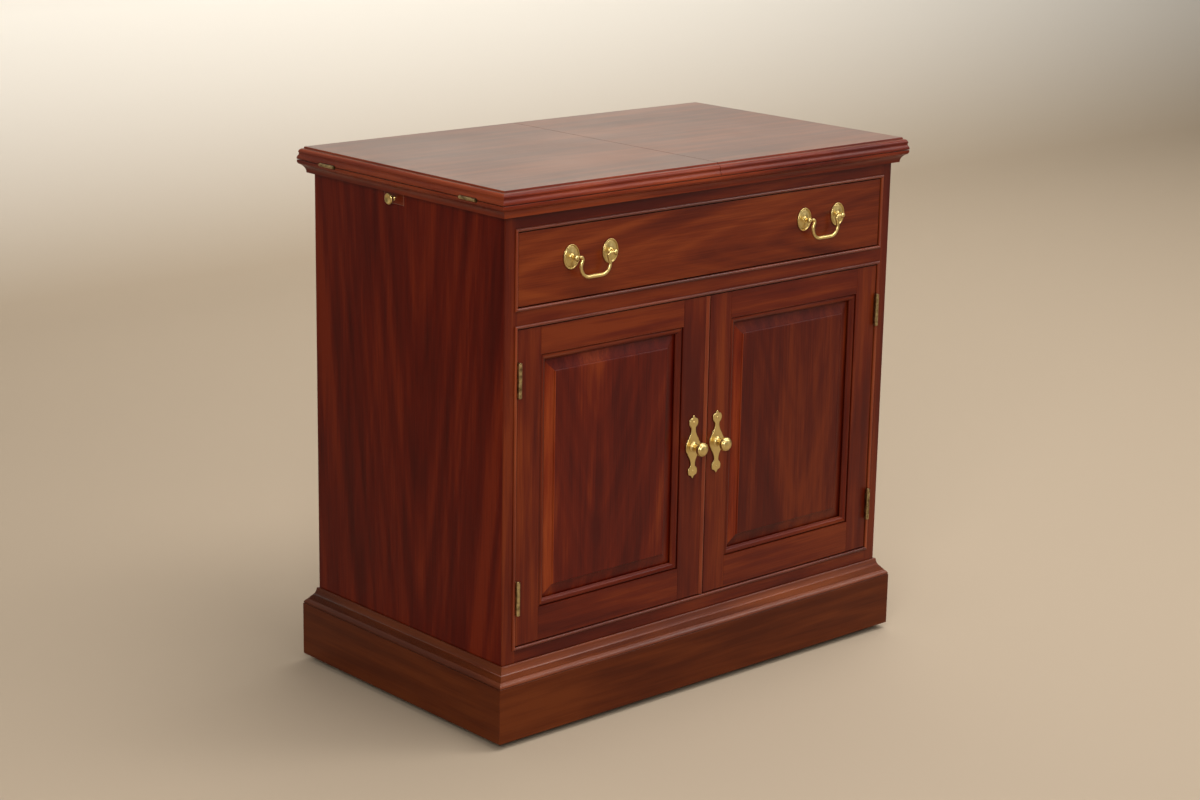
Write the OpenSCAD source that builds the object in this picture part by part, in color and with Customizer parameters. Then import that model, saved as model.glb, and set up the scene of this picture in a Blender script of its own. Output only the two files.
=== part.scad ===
// Flip-top server cabinet: two top leaves fold out onto pull-out lopers,
// over one wide drawer and a cupboard with two panelled doors, on hidden casters.
// +X is the cabinet's right as seen from the front, +Y its back, Z = 0 is the floor.

/* [Case] */
// Width over the side panels
case_w = 846; // [800:2:900]
// Depth from the face frame to the back
case_d = 480; // [450:2:520]
// Height from the plinth's bottom edge to the underside of the fixed top
case_h = 822; // [790:2:860]
// Thickness of the side panels
side_t = 20; // [18:0.5:22]
// Thickness of the face frame, which is also that of the doors and the drawer front
frame_t = 20; // [19:0.5:22]
// Thickness of the back panel
back_t = 6; // [4:0.5:8]
// Thickness of the bottom panel
bottom_t = 20; // [16:0.5:22]

/* [Plinth] */
// Gap between the floor and the plinth's bottom edge
floor_gap = 10; // [8:0.5:13]
// Height of the plinth boards
plinth_h = 90; // [84:1:96]
// Thickness of the plinth boards, and so how far they stand out
plinth_t = 20; // [18:0.5:22]
// Height of the moulding on top of the plinth boards
cap_h = 28.5; // [26:0.5:31]
// How far the side panels and stiles end above the plinth's bottom edge
case_foot_gap = 12; // [8:1:16]

/* [Face frame] */
// Width of the stiles that shows beside the cock bead
stile_w = 19.8; // [17:0.2:24]
// Height of the top rail that shows above the cock bead
top_rail_h = 19.8; // [19.6:0.2:22]
// Height of the drawer opening, over the cock bead
drawer_opening_h = 126; // [118:1:134]
// Height of the rail that shows between the two openings
mid_rail_h = 22.2; // [20:0.2:26]
// Height of the bottom rail that shows above the plinth's moulding
bottom_rail_h = 20.5; // [18:0.5:24]
// Width of the cock bead
bead_w = 5; // [4:0.2:6]
// How far the cock bead stands out from the frame
bead_out = 3; // [2.6:0.1:3.4]
// How deep the cock bead is let into the frame
bead_in = 8; // [6:0.5:9]
// Gap all round the drawer front and the doors
front_gap = 1.5; // [1.2:0.1:2]

/* [Top] */
// Thickness of the fixed top board
top_t = 20.6; // [19:0.2:22]
// Thickness of the two folding leaves
leaf_t = 20.6; // [19:0.2:22]
// How far the top board and the leaves stand out past the case
top_out = 20.5; // [19:0.5:22]
// Gap between a closed leaf and the fixed top
leaf_gap = 1; // [0.8:0.1:1.4]
// Gap between the two leaves at the seam
seam_gap = 0.8; // [0.6:0.1:1.2]
// Height of the small riser at the leaf's top edge
edge_riser = 3; // [2.4:0.1:3.2]
// Radius of the leaf's upper moulding
ovolo_r = 6.5; // [6:0.1:6.8]
// Radius of the leaf's lower moulding
nose_r = 8; // [7.5:0.1:8.4]
// Radius of the hollow under the fixed top's edge
cove_r = 14.5; // [14:0.1:15]

/* [Leaf hinges] */
// Radius of the leaf hinge's barrel
leaf_barrel_r = 2.8; // [2.6:0.1:3]
// Radius of the leaf hinge's pin
leaf_pin_r = 1.3; // [1.1:0.1:1.5]
// Length of the leaf hinge
leaf_hinge_l = 38; // [34:1:44]
// Width of one plate of the leaf hinge
leaf_plate_w = 26; // [22:1:32]
// Thickness of the leaf hinge's plates
leaf_plate_t = 1; // [0.8:0.1:1.2]
// Distance from the middle of the depth to each leaf hinge
leaf_hinge_y = 177.5; // [150:0.5:190]
// How far the hinge axis stands out past the leaf's edge
leaf_axis_out = 0.5; // [0.4:0.1:0.8]

/* [Lopers] */
// Width of each pull-out loper
loper_w = 51; // [46:1:55]
// Height of each loper
loper_h = 19; // [18:0.5:19]
// Length of each loper
loper_l = 620; // [560:10:660]
// How far a loper pulls out
loper_travel = 300; // [240:10:320]
// Gap between a loper and the fixed top above it
loper_top_gap = 0.5; // [0.4:0.1:0.6]
// Gap between a loper and its guides
loper_gap = 0.3; // [0.2:0.1:0.5]
// Thickness of the divider between the two lopers
divider_t = 8.4; // [7:0.2:12]
// Width of the outer guides of the lopers
guide_w = 22; // [18:1:30]
// Gap between the guides' ends and the drawer's kickers
guide_end_gap = 20; // [5:1:40]
// Thickness of the cleats under the lopers
cleat_t = 5; // [4:0.5:5]
// Width of the cleats under the lopers
cleat_w = 50; // [40:1:70]
// Radius of the loper knob's head
loper_knob_r = 9.1; // [8:0.1:9.5]
// Distance from the loper's top to its knob's head
loper_knob_down = 0.9; // [0.5:0.1:1.5]
// How far the loper knob stands out
loper_knob_l = 12.5; // [11:0.5:15]

/* [Drawer] */
// Thickness of the drawer's sides and back
drawer_side_t = 12; // [10:0.5:14]
// Depth of the drawer box behind its front
drawer_box_d = 400; // [370:5:410]
// Gap between the drawer's sides and the stiles' inner line
drawer_side_gap = 4.2; // [3.5:0.1:6]
// Thickness of the drawer bottom
drawer_bottom_t = 5; // [4:0.5:6]
// Height of the drawer bottom above the lower edge of the sides
drawer_bottom_up = 10; // [8:1:14]
// Depth of the grooves that hold the drawer bottom
drawer_groove = 6; // [4:0.5:7]
// How far the drawer's sides stay below the top of its opening
drawer_side_down = 7; // [6:0.5:14]
// Running gap of the drawer on its runners, guides and kickers
drawer_run_gap = 0.3; // [0.3:0.05:0.5]
// How far the drawer pulls out
drawer_travel = 340; // [280:10:350]
// Thickness of the dust frame under the drawer
dust_t = 20; // [16:1:20]
// Width of the dust frame's rails
dust_rail_w = 60; // [50:1:80]
// Thickness of the dust panel
dust_panel_t = 5; // [4:0.5:6]
// Height of the side guides of the drawer
guide_h = 30; // [20:1:40]
// Width of the kickers above the drawer's sides
kicker_w = 22; // [18:1:26]

/* [Drawer pulls] */
// Distance from the middle of the drawer to each pull
pull_x = 253.5; // [220:0.5:290]
// Distance between the two posts of a pull
post_spacing = 79; // [78:0.5:84]
// Width of a rose
rose_w = 31.4; // [29:0.2:33]
// Height of a rose
rose_h = 38.4; // [36:0.2:42]
// Width of the raised middle of a rose
rose_boss_w = 17.3; // [14:0.1:20]
// Height of the raised middle of a rose
rose_boss_h = 21.1; // [16:0.1:25]
// Thickness of a rose's rim
rose_t = 2.5; // [2:0.1:3]
// Distance from the drawer front to the bail's axis
bail_y = 12; // [11.5:0.5:14]
// Radius of the ball at the post's end
ball_r = 4.4; // [4:0.1:4.8]
// Radius of the bail's rod
bail_r = 2.6; // [2.4:0.1:2.8]
// Radius of the bail's pivot ends
bail_pin_r = 2; // [1.8:0.1:2.2]
// Running clearance of every pin in its hole, on the radius
pin_play = 0.05; // [0.03:0.01:0.08]
// How far the bail hangs below its axis
bail_drop = 32.4; // [31:0.2:36]

/* [Doors] */
// Width of the door stiles outside the sticking
door_stile_w = 46.2; // [40:0.2:52]
// Height of the door's top rail outside the sticking
door_top_rail_h = 43; // [38:0.5:50]
// Height of the door's bottom rail outside the sticking
door_bottom_rail_h = 52.8; // [46:0.2:60]
// Width of the moulded sticking round the panel
stick_w = 12; // [10:0.5:14]
// Depth of the sticking at the panel
stick_d = 7; // [6:0.5:7.5]
// Width of the panel's bevel
bevel_w = 20; // [16:0.5:26]
// Depth of the raised field behind the door's face
field_d = 3; // [2.4:0.1:3.6]
// Depth of the groove that holds the panel
panel_groove = 8; // [6:0.5:9]
// Thickness of the panel's edge in that groove
tongue_t = 5.4; // [5:0.1:6]
// Width of the half-round strip on the left door's meeting edge
astragal_w = 9; // [8:0.2:10]
// How far that strip stands out
astragal_out = 2.2; // [2:0.1:2.6]
// How deep that strip is let in
astragal_in = 4; // [3:0.5:6]
// Gap between the two doors
meet_gap = 1.2; // [1.2:0.1:1.6]
// Opening angle of the doors
door_open_deg = 170; // [120:5:175]

/* [Door hinges] */
// Radius of the door hinge's barrel
door_barrel_r = 3.3; // [3:0.1:3.6]
// Radius of the door hinge's pin
door_pin_r = 1.5; // [1.3:0.1:1.7]
// Length of the door hinge
door_hinge_l = 54; // [48:1:60]
// Distance of the door hinge's axis in front of the frame
door_axis_out = 5.2; // [4.8:0.1:5.8]
// Depth of the door hinge's plates
door_plate_d = 17; // [14:1:17]
// Thickness of the door hinge's plates
door_plate_t = 1.2; // [1:0.1:1.4]
// Distance from the door's lower edge to the lower hinge's middle
low_hinge_up = 79; // [60:1:100]
// Distance from the door's upper edge to the upper hinge's middle
high_hinge_down = 77; // [60:1:100]

/* [Door knobs] */
// Distance of the knobs from the middle of the cabinet
knob_x = 26.5; // [24:0.5:29]
// Height of the knobs above the doors' lower edge
knob_up = 256; // [230:1:290]
// Radius of the knob's head
knob_r = 11.5; // [10:0.1:13]
// How far the knob stands out from the door
knob_out = 29.5; // [27:0.5:33]
// Radius of the knob's stem
knob_stem_r = 5.2; // [4.5:0.1:6]
// Height of the plate behind the knob
knob_plate_h = 105.5; // [101:0.5:110]
// Thickness of that plate
knob_plate_t = 2.2; // [1.8:0.1:2.6]
// Radius of the plate's round middle
plate_mid_r = 16; // [14:0.5:18]
// Width of the plate's waist beside that middle
plate_waist_w = 22; // [20:0.5:24]
// Height of the waist's corner above the plate's middle
plate_waist_up = 13; // [12:0.5:14]
// Width of the plate's necks
plate_neck_w = 9.2; // [8:0.1:11]
// Height at which a neck begins, above the plate's middle
plate_neck_up = 30; // [26:0.5:31]
// Radius of the plate's round ends
plate_end_r = 9.75; // [9:0.05:10.5]
// Distance from the plate's tip to the middle of its round end
plate_end_down = 11.7; // [11:0.1:12.5]
// Width of the foot of the pointed tip
plate_tip_w = 12; // [10:0.5:13]
// Height of that foot above the middle of the round end
plate_tip_up = 7; // [6:0.1:7.6]
// Width of the tip's point
plate_point_w = 1.6; // [1:0.1:2.4]
// Radius of the nails' heads
nail_r = 1.9; // [1.5:0.1:2.3]
// How far the nails' heads stand out from the plate
nail_out = 0.9; // [0.6:0.1:1.2]
// Radius of the collar at the knob's foot
knob_collar_r = 7.6; // [7:0.1:8.6]
// Thickness of that collar
knob_collar_t = 1.3; // [1:0.1:1.6]
// Height of the knob's head from the end of its stem
knob_head_h = 15; // [14:0.5:16]
// Height from the flare under the head to the knob's top
knob_flare_h = 12; // [11.5:0.1:12.5]
// Height from the head's lower rim to the knob's top
knob_rim_h = 9.5; // [9:0.1:10]
// Height of the knob's domed face
knob_dome_h = 7; // [6:0.1:7.5]
// How far that dome stays inside the head's rim
knob_rim_in = 1.2; // [0.8:0.1:1.6]

/* [Shelf] */
// Height of the shelf's top above the cupboard's floor
shelf_up = 265; // [220:5:320]
// Thickness of the shelf
shelf_t = 19; // [16:0.5:22]
// Gap between the shelf and the back panel
shelf_back_gap = 6; // [4:1:12]
// Distance from the shelf's front and back edges to its pins
shelf_pin_set = 40; // [30:5:80]
// Gap between the shelf and the side panels
shelf_gap = 1.5; // [1:0.1:2.5]
// Distance from the closed doors to the shelf's front
shelf_back_set = 12; // [8:1:30]
// Radius of the shelf pins
shelf_pin_r = 3; // [2.5:0.1:3.5]
// How far a shelf pin goes into the side panel
shelf_pin_in = 10; // [8:0.5:12]
// How far a shelf pin stands out of the side panel
shelf_pin_out = 10; // [8:0.5:14]

/* [Casters] */
// Radius of the caster wheels
wheel_r = 20; // [19:0.5:20]
// Width of the caster wheels
wheel_w = 16; // [14:0.5:18]
// Distance from the swivel axis to the wheel's axle
caster_trail = 16; // [14:0.5:18]
// Height from the floor to the corner blocks
caster_h = 52; // [51:0.5:54]
// Thickness of the corner blocks
block_t = 30; // [24:1:34]
// Width and depth of the corner blocks
block_w = 86; // [84:1:96]
// Width of the caster's plate
caster_plate_w = 52; // [46:1:60]
// Length of the caster's plate
caster_plate_l = 64; // [56:1:72]
// Radius of the caster's axle
axle_r = 3; // [2.5:0.1:3.5]
// Radius of the caster's kingpin
kingpin_r = 4; // [3.5:0.1:4.5]

/* [Hidden] */
$fn = 48;
eps = 0.01;
// Thickness of a glue line between two pieces of one group
glue = 0.05;
// Depth position of the case: the knobs and the back edge of the top set the box
front_y = (knob_out - case_d - top_out) / 2;
back_y = front_y + case_d;
frame_back_y = front_y + frame_t;
mid_y = front_y + case_d / 2;
base_z = floor_gap;
plinth_top_z = base_z + plinth_h;
cap_top_z = plinth_top_z + cap_h;
foot_z = base_z + case_foot_gap;
top_z = base_z + case_h;
leaf_z = top_z + top_t + leaf_gap;
side_x = case_w / 2;
side_in_x = side_x - side_t;
stile_in_x = side_x - stile_w - bead_w;
bead_x = side_x - stile_w;
// Openings of the face frame: over the bead, and inside it
drawer_top_z = top_z - top_rail_h;
drawer_low_z = drawer_top_z - drawer_opening_h;
door_top_z = drawer_low_z - mid_rail_h;
door_low_z = cap_top_z + bottom_rail_h;
floor_z = door_low_z + bead_w;
runner_z = drawer_low_z + bead_w;
// Drawer front and doors
front_x = stile_in_x - front_gap;
panel_low_z = floor_z + front_gap;
panel_high_z = door_top_z - bead_w - front_gap;
door_h = panel_high_z - panel_low_z;
left_door_in_x = astragal_w / 2 - 0.1;
right_door_in_x = left_door_in_x + meet_gap;
field_in_x = left_door_in_x + meet_gap / 2 + 47.5;
door_axis_x = front_x - door_plate_t / 2;
door_axis_y = front_y - door_axis_out;
knob_z = panel_low_z + knob_up;
// Folding leaves
leaf_edge_x = side_x + top_out;
leaf_axis_x = leaf_edge_x + leaf_axis_out;
leaf_axis_z = leaf_z - leaf_gap / 2;
// Lopers
loper_z = top_z - loper_top_gap - loper_h;
slot_z = loper_z - loper_gap;
loper_left_y = mid_y + divider_t / 2 + loper_gap;
loper_right_y = mid_y - divider_t / 2 - loper_gap - loper_w;
// Drawer box
box_x = stile_in_x - drawer_side_gap;
box_low_z = runner_z + drawer_run_gap;
box_high_z = drawer_top_z - bead_w - drawer_side_down;
box_back_y = frame_back_y + drawer_box_d;
dust_back_y = box_back_y + 20;
pull_z = (drawer_top_z + drawer_low_z) / 2 + 8;
// Casters
caster_x = side_in_x - block_w / 2;
caster_front_y = frame_back_y + block_w / 2;
caster_back_y = back_y - back_t - block_w / 2;
inner_back_y = back_y - back_t;

// Points of an arc from one angle to another
function arc(cx, cy, r, from, to, steps = 6) =
    [for (i = [0:steps]) let (a = from + (to - from) * i / steps) [cx + r * cos(a), cy + r * sin(a)]];
function mirrored(points) = [for (i = [len(points) - 1:-1:0]) [-points[i][0], points[i][1]]];

// A box from one corner to the opposite one
module block(low, high) {
    translate(low) cube(high - low);
}
// An outline in X and Z, pushed along Y from y_low to y_high
module along_y(y_low, y_high) {
    translate([0, y_high, 0]) rotate([90, 0, 0]) linear_extrude(y_high - y_low) children();
}
// An outline in Y and Z, pushed along X from x_low to x_high
module along_x(x_low, x_high) {
    translate([x_low, 0, 0]) rotate([90, 0, 90]) linear_extrude(x_high - x_low) children();
}
module both_sides() {
    children();
    mirror([1, 0, 0]) children();
}
module rod_x(x_low, x_high, r) {
    translate([x_low, 0, 0]) rotate([0, 90, 0]) cylinder(r = r, h = x_high - x_low);
}
module rod_y(y_low, y_high, r) {
    translate([0, y_low, 0]) rotate([-90, 0, 0]) cylinder(r = r, h = y_high - y_low);
}
// Places its children at the four casters, with their swivel axes on Z
module at_casters() {
    for (y = [caster_front_y, caster_back_y]) for (x = [-caster_x, caster_x]) translate([x, y, 0]) children();
}

// Case
module loper_slot(y_low) {
    translate([-side_x - 1, y_low - loper_gap, slot_z])
        cube([side_t + 2, loper_w + 2 * loper_gap, top_z - slot_z + 1]);
}
module shelf_pin_holes() {
    for (y = [shelf_pin_y_front, shelf_pin_y_back])
        translate([-side_in_x - shelf_pin_in, y, shelf_pin_z]) rod_x(0, shelf_pin_in + 1, shelf_pin_r);
}
module case_side(slot_y) {
    difference() {
        block([-side_x, frame_back_y, foot_z], [-side_in_x, back_y, top_z]);
        loper_slot(slot_y);
        shelf_pin_holes();
    }
}
module case_side_left() {
    color("#6e2412") case_side(loper_left_y);
}
module case_side_right() {
    color("#6e2412") mirror([1, 0, 0]) case_side(loper_right_y);
}
module case_back() {
    color("#5e2012") block([-side_in_x, inner_back_y, foot_z], [side_in_x, back_y, top_z]);
}
module case_bottom() {
    color("#6a2816") block([-side_in_x, frame_back_y, floor_z - bottom_t], [side_in_x, inner_back_y, floor_z]);
}
module dust_frame() {
    color("#a8764a") {
        both_sides() block([-side_in_x, frame_back_y, runner_z - dust_t],
            [-side_in_x + dust_rail_w, dust_back_y, runner_z]);
        rail_x = side_in_x - dust_rail_w - glue;
        block([-rail_x, dust_back_y - dust_rail_w, runner_z - dust_t], [rail_x, dust_back_y, runner_z]);
        block([-rail_x, frame_back_y, runner_z - (dust_t + dust_panel_t) / 2],
            [rail_x, dust_back_y - dust_rail_w - glue, runner_z - (dust_t - dust_panel_t) / 2]);
    }
}
// Side guides on the dust frame, and kickers that keep the open drawer level
module drawer_guides() {
    color("#b58656") both_sides() {
        block([-side_in_x, frame_back_y, runner_z], [-box_x - drawer_run_gap, dust_back_y, runner_z + guide_h]);
        block([-side_in_x, frame_back_y, box_high_z + drawer_run_gap],
            [-side_in_x + kicker_w, dust_back_y, slot_z]);
    }
}
// Three rails under the fixed top that guide the two lopers, with cleats below them
guide_half = divider_t / 2 + 2 * loper_gap + loper_w;
module loper_guides() {
    color("#b58656") {
        guide_x = side_in_x - kicker_w - guide_end_gap;
        for (y = [-guide_half - guide_w, guide_half])
            block([-guide_x, mid_y + y, slot_z], [guide_x, mid_y + y + guide_w, top_z]);
        block([-guide_x, mid_y - divider_t / 2, slot_z], [guide_x, mid_y + divider_t / 2, top_z]);
        for (x = [-guide_x + cleat_w, 0, guide_x - cleat_w])
            block([x - cleat_w / 2, mid_y - guide_half - guide_w, slot_z - cleat_t],
                [x + cleat_w / 2, mid_y + guide_half + guide_w, slot_z - glue]);
    }
}
shelf_z = floor_z + shelf_up;
shelf_front_y = frame_back_y + shelf_back_set;
shelf_back_y = inner_back_y - shelf_back_gap;
shelf_pin_z = shelf_z - shelf_t - shelf_pin_r;
shelf_pin_y_front = shelf_front_y + shelf_pin_set;
shelf_pin_y_back = shelf_back_y - shelf_pin_set;
module shelf() {
    color("#7a3018") block([-side_in_x + shelf_gap, shelf_front_y, shelf_z - shelf_t],
        [side_in_x - shelf_gap, shelf_back_y, shelf_z]);
}
module shelf_pins() {
    color("#b08d4a") both_sides() for (y = [shelf_pin_y_front, shelf_pin_y_back])
        translate([-side_in_x, y, shelf_pin_z]) rod_x(-shelf_pin_in, shelf_pin_out, shelf_pin_r);
}

// Face frame
hinge_low_z = panel_low_z + low_hinge_up;
hinge_high_z = panel_high_z - high_hinge_down;
// Mortise of the fixed half of the door hinges
module door_hinge_mortises() {
    for (z = [hinge_low_z, hinge_high_z])
        block([-stile_in_x - door_plate_t, front_y - bead_out - 1, z - door_hinge_l / 2],
            [-stile_in_x + 1, front_y + door_plate_d, z + door_hinge_l / 2]);
}
// Room for the cock beads round both openings
module bead_rooms() {
    for (z = [[drawer_low_z, drawer_top_z], [door_low_z, door_top_z]])
        block([-bead_x, front_y - 1, z[0]], [bead_x, front_y + bead_in, z[1]]);
}
module face_stiles() {
    color("#5a1c10") difference() {
        both_sides() difference() {
            block([-side_x, front_y, foot_z], [-stile_in_x, frame_back_y, top_z]);
            door_hinge_mortises();
        }
        bead_rooms();
    }
}
module face_rail(z_low, z_high) {
    color("#5a1c10") difference() {
        block([-stile_in_x, front_y, z_low], [stile_in_x, frame_back_y, z_high]);
        bead_rooms();
    }
}
module face_top_rail() {
    face_rail(drawer_top_z - bead_w, top_z);
}
module face_mid_rail() {
    difference() {
        face_rail(door_top_z - bead_w, runner_z);
        both_sides() door_catch_place() cylinder(r = catch_r, h = catch_l);
    }
}
module face_bottom_rail() {
    face_rail(plinth_top_z, floor_z);
}
// One mitred strip along X: its outline lies in Y and Z, with its outer edge at Z = 0
module mitred_strip(length, width, y_low, y_high) {
    intersection() {
        along_x(-length / 2, length / 2) children();
        along_y(y_low, y_high) polygon([[-length / 2 + glue, 0], [length / 2 - glue, 0],
            [length / 2 - glue - width, width], [-length / 2 + glue + width, width]]);
    }
}
// Four mitred strips round an upright rectangle; the outline is the child
module mitred_ring(x_mid, z_mid, w, h, width, y_low, y_high) {
    translate([x_mid, 0, z_mid]) for (side = [0:3]) {
        length = side % 2 == 0 ? w : h;
        drop = side % 2 == 0 ? h / 2 : w / 2;
        rotate([0, side * 90, 0]) translate([0, 0, -drop])
            mitred_strip(length, width, y_low, y_high) children();
    }
}
module bead_outline() {
    nose = bead_w / 2;
    translate([front_y - bead_out + nose, nose]) circle(r = nose);
    translate([front_y - bead_out + nose, 0]) square([bead_out - nose + bead_in, bead_w]);
}
module cock_beads() {
    color("#7c3420") difference() {
        for (z = [[drawer_low_z, drawer_top_z], [door_low_z, door_top_z]])
            mitred_ring(0, (z[0] + z[1]) / 2, 2 * bead_x, z[1] - z[0], bead_w,
                front_y - bead_out - 1, front_y + bead_in + 1) bead_outline();
        both_sides() door_hinge_mortises();
    }
}
catch_r = 4;
catch_l = 12;
catch_x = 60;
catch_ball_r = 2.8;
catch_ball_up = 1.8;
module door_catch_place() {
    translate([catch_x, front_y + bead_in + catch_r + 1, door_top_z - bead_w]) children();
}
// Bullet catches in the rail above the doors
module door_catches() {
    color("#b08d4a") both_sides() door_catch_place() {
        cylinder(r = catch_r, h = catch_l);
        intersection() {
            translate([0, 0, catch_ball_up]) sphere(r = catch_ball_r);
            translate([-catch_r, -catch_r, -catch_r]) cube([2 * catch_r, 2 * catch_r, catch_r + 1]);
        }
    }
}

// Plinth: boards and moulding run round the case, mitred at the corners
module plinth_side(x_mid, turn, length, offset, out) {
    translate([0, x_mid, 0]) rotate([0, 0, turn]) intersection() {
        translate([0, -offset, 0]) along_x(-length / 2 - out, length / 2 + out) children();
        translate([0, -offset, 0]) linear_extrude(top_z)
            polygon([[-length / 2 + glue, 0], [length / 2 - glue, 0],
                [length / 2 + out - glue, -out], [-length / 2 - out + glue, -out]]);
    }
}
// Four strips round the case; the outline is the child, with the case face at Y = 0
module plinth_ring(out) {
    for (turn = [0, 180]) plinth_side(mid_y, turn, case_w, case_d / 2, out) children();
    for (turn = [90, 270]) plinth_side(mid_y, turn, case_d, case_w / 2, out) children();
}
module plinth_boards() {
    color("#521a0e") plinth_ring(plinth_t) translate([-plinth_t, base_z]) square([plinth_t, plinth_h]);
}
// Moulding on the plinth, from the case outwards: a ledge, a reed, a cove, a bead and a slope
cap_ledge = 2.4;
cap_reed_out = 4;
cap_reed_h = 4.8;
cap_cove_out = 5.1;
cap_cove_top_h = 9;
cap_cove_low_h = 16;
cap_step = 12;
cap_bead_r = 2;
cap_bead_out = 0.3;
cap_bead_down = 19.5;
cap_slope_in = 2.8;
cap_slope_h = 4.6;
cap_set_in = 0.5;
module plinth_cap_outline() {
    bead_z = cap_top_z - cap_bead_down;
    polygon(concat(
        [[0, plinth_top_z], [0, cap_top_z], [-cap_ledge, cap_top_z], [-cap_reed_out, cap_top_z - cap_reed_h],
            [-cap_cove_out, cap_top_z - cap_cove_top_h]],
        [[-cap_step, cap_top_z - cap_cove_low_h], [-cap_step, bead_z + cap_bead_r]],
        arc(-cap_step - cap_bead_out, bead_z, cap_bead_r, 90, 160, 4),
        [[-plinth_t + cap_slope_in, plinth_top_z + cap_slope_h], [-plinth_t + cap_set_in, plinth_top_z]]));
}
module plinth_cap() {
    color("#5a1c10") plinth_ring(plinth_t) plinth_cap_outline();
}
module corner_blocks() {
    color("#b58656") both_sides() for (y = [frame_back_y, inner_back_y - block_w])
        block([-side_in_x, y, caster_h], [-side_in_x + block_w, y + block_w, caster_h + block_t]);
}

// Top: one fixed board, and two leaves above it that fold out
// Fixed top: an upright band, a rounded corner below it and a cove back to the case
band_in = 0.2;
band_h = 3.2;
band_round_r = 3;
cove_out = 3.5;
cove_up = 0.6;
function fixed_top_edge(edge) = concat(
    [[edge - band_in, top_z + top_t], [edge - band_in, top_z + top_t - band_h]],
    arc(edge - band_in - band_round_r, top_z + top_t - band_h, band_round_r, -15, -55, 3),
    arc(edge + cove_out, top_z + cove_up, cove_r, 110, 175, 8),
    [[edge + cove_out - cove_r, top_z]]);
// Leaf: a leaning riser, an ovolo, a quirk and a round nose
riser_in = 8.3;
riser_lean = 0.9;
ovolo_in = 1.8;
quirk_in = 2.6;
quirk_top = 1;
quirk_low = 3;
nose_up = 1.4;
function leaf_edge(edge) = let (ovolo_z = leaf_z + leaf_t - edge_riser - ovolo_r) concat(
    [[edge - riser_in - riser_lean, leaf_z + leaf_t], [edge - riser_in, leaf_z + leaf_t - edge_riser]],
    arc(edge - ovolo_in - ovolo_r, ovolo_z, ovolo_r, 75, 0, 6),
    [[edge - quirk_in, ovolo_z - quirk_top], [edge - quirk_in, ovolo_z - quirk_low]],
    arc(edge - nose_r, leaf_z + nose_up, nose_r, 44, -10, 6));
scoop_play = 0.5;
// Scooped mortises that clear the barrels of the leaf hinges, on the left side
module leaf_barrel_scoops() {
    scoop_r = leaf_barrel_r + scoop_play;
    for (y = [-leaf_hinge_y, leaf_hinge_y]) translate([-leaf_axis_x, mid_y + y, leaf_axis_z]) {
        for (end = [-1, 1]) translate([0, end * leaf_hinge_l / 2, 0]) rod_x(-scoop_r, scoop_r, scoop_r);
        translate([-scoop_r, -leaf_hinge_l / 2, -scoop_r]) cube([2 * scoop_r, leaf_hinge_l, 2 * scoop_r]);
    }
}
module leaf_plate_places(z_low, x_edge) {
    for (y = [-leaf_hinge_y, leaf_hinge_y])
        block([-x_edge, mid_y + y - leaf_hinge_l / 2, z_low],
            [-leaf_axis_x + leaf_plate_w, mid_y + y + leaf_hinge_l / 2, z_low + leaf_plate_t]);
}
module fixed_top() {
    color("#5e1f12") difference() {
        intersection() {
            along_y(front_y - top_out, back_y + top_out)
                polygon(concat(fixed_top_edge(leaf_edge_x), mirrored(fixed_top_edge(leaf_edge_x))));
            along_x(-leaf_edge_x, leaf_edge_x) translate([mid_y, 0])
                polygon(concat(fixed_top_edge(case_d / 2 + top_out), mirrored(fixed_top_edge(case_d / 2 + top_out))));
        }
        both_sides() {
            leaf_barrel_scoops();
            leaf_plate_places(top_z + top_t - leaf_plate_t, leaf_axis_x);
        }
    }
}
module leaf() {
    color("#70301c") difference() {
        intersection() {
            along_y(front_y - top_out, back_y + top_out)
                polygon(concat([[seam_gap / 2, leaf_z], [seam_gap / 2, leaf_z + leaf_t]], leaf_edge(leaf_edge_x)));
            along_x(0, leaf_edge_x + 1) translate([mid_y, 0])
                polygon(concat(leaf_edge(case_d / 2 + top_out), mirrored(leaf_edge(case_d / 2 + top_out))));
        }
        mirror([1, 0, 0]) {
            leaf_barrel_scoops();
            leaf_plate_places(leaf_z, leaf_axis_x);
        }
    }
}
module leaf_right() {
    leaf();
}
module leaf_left() {
    mirror([1, 0, 0]) leaf();
}
// Leaf hinges: two plates and three knuckles on one pin, on the left side
leaf_knuckle_l = leaf_hinge_l / 3;
knuckle_gap = 0.3;
barrel_play = 0.4;
module leaf_hinges_fixed() {
    color("#8a6a3a") both_sides() {
        for (y = [-leaf_hinge_y, leaf_hinge_y]) translate([-leaf_axis_x, mid_y + y, leaf_axis_z]) {
            rod_y(-leaf_hinge_l / 2, leaf_hinge_l / 2, leaf_pin_r);
            for (end = [-leaf_hinge_l / 2, leaf_hinge_l / 2 - leaf_knuckle_l])
                rod_y(end, end + leaf_knuckle_l, leaf_barrel_r);
            difference() {
                translate([0, -leaf_hinge_l / 2, -leaf_gap / 2 - leaf_plate_t])
                    cube([leaf_plate_w, leaf_hinge_l, leaf_plate_t]);
                rod_y(-leaf_knuckle_l / 2 - knuckle_gap, leaf_knuckle_l / 2 + knuckle_gap, leaf_barrel_r + barrel_play);
            }
        }
    }
}
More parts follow.
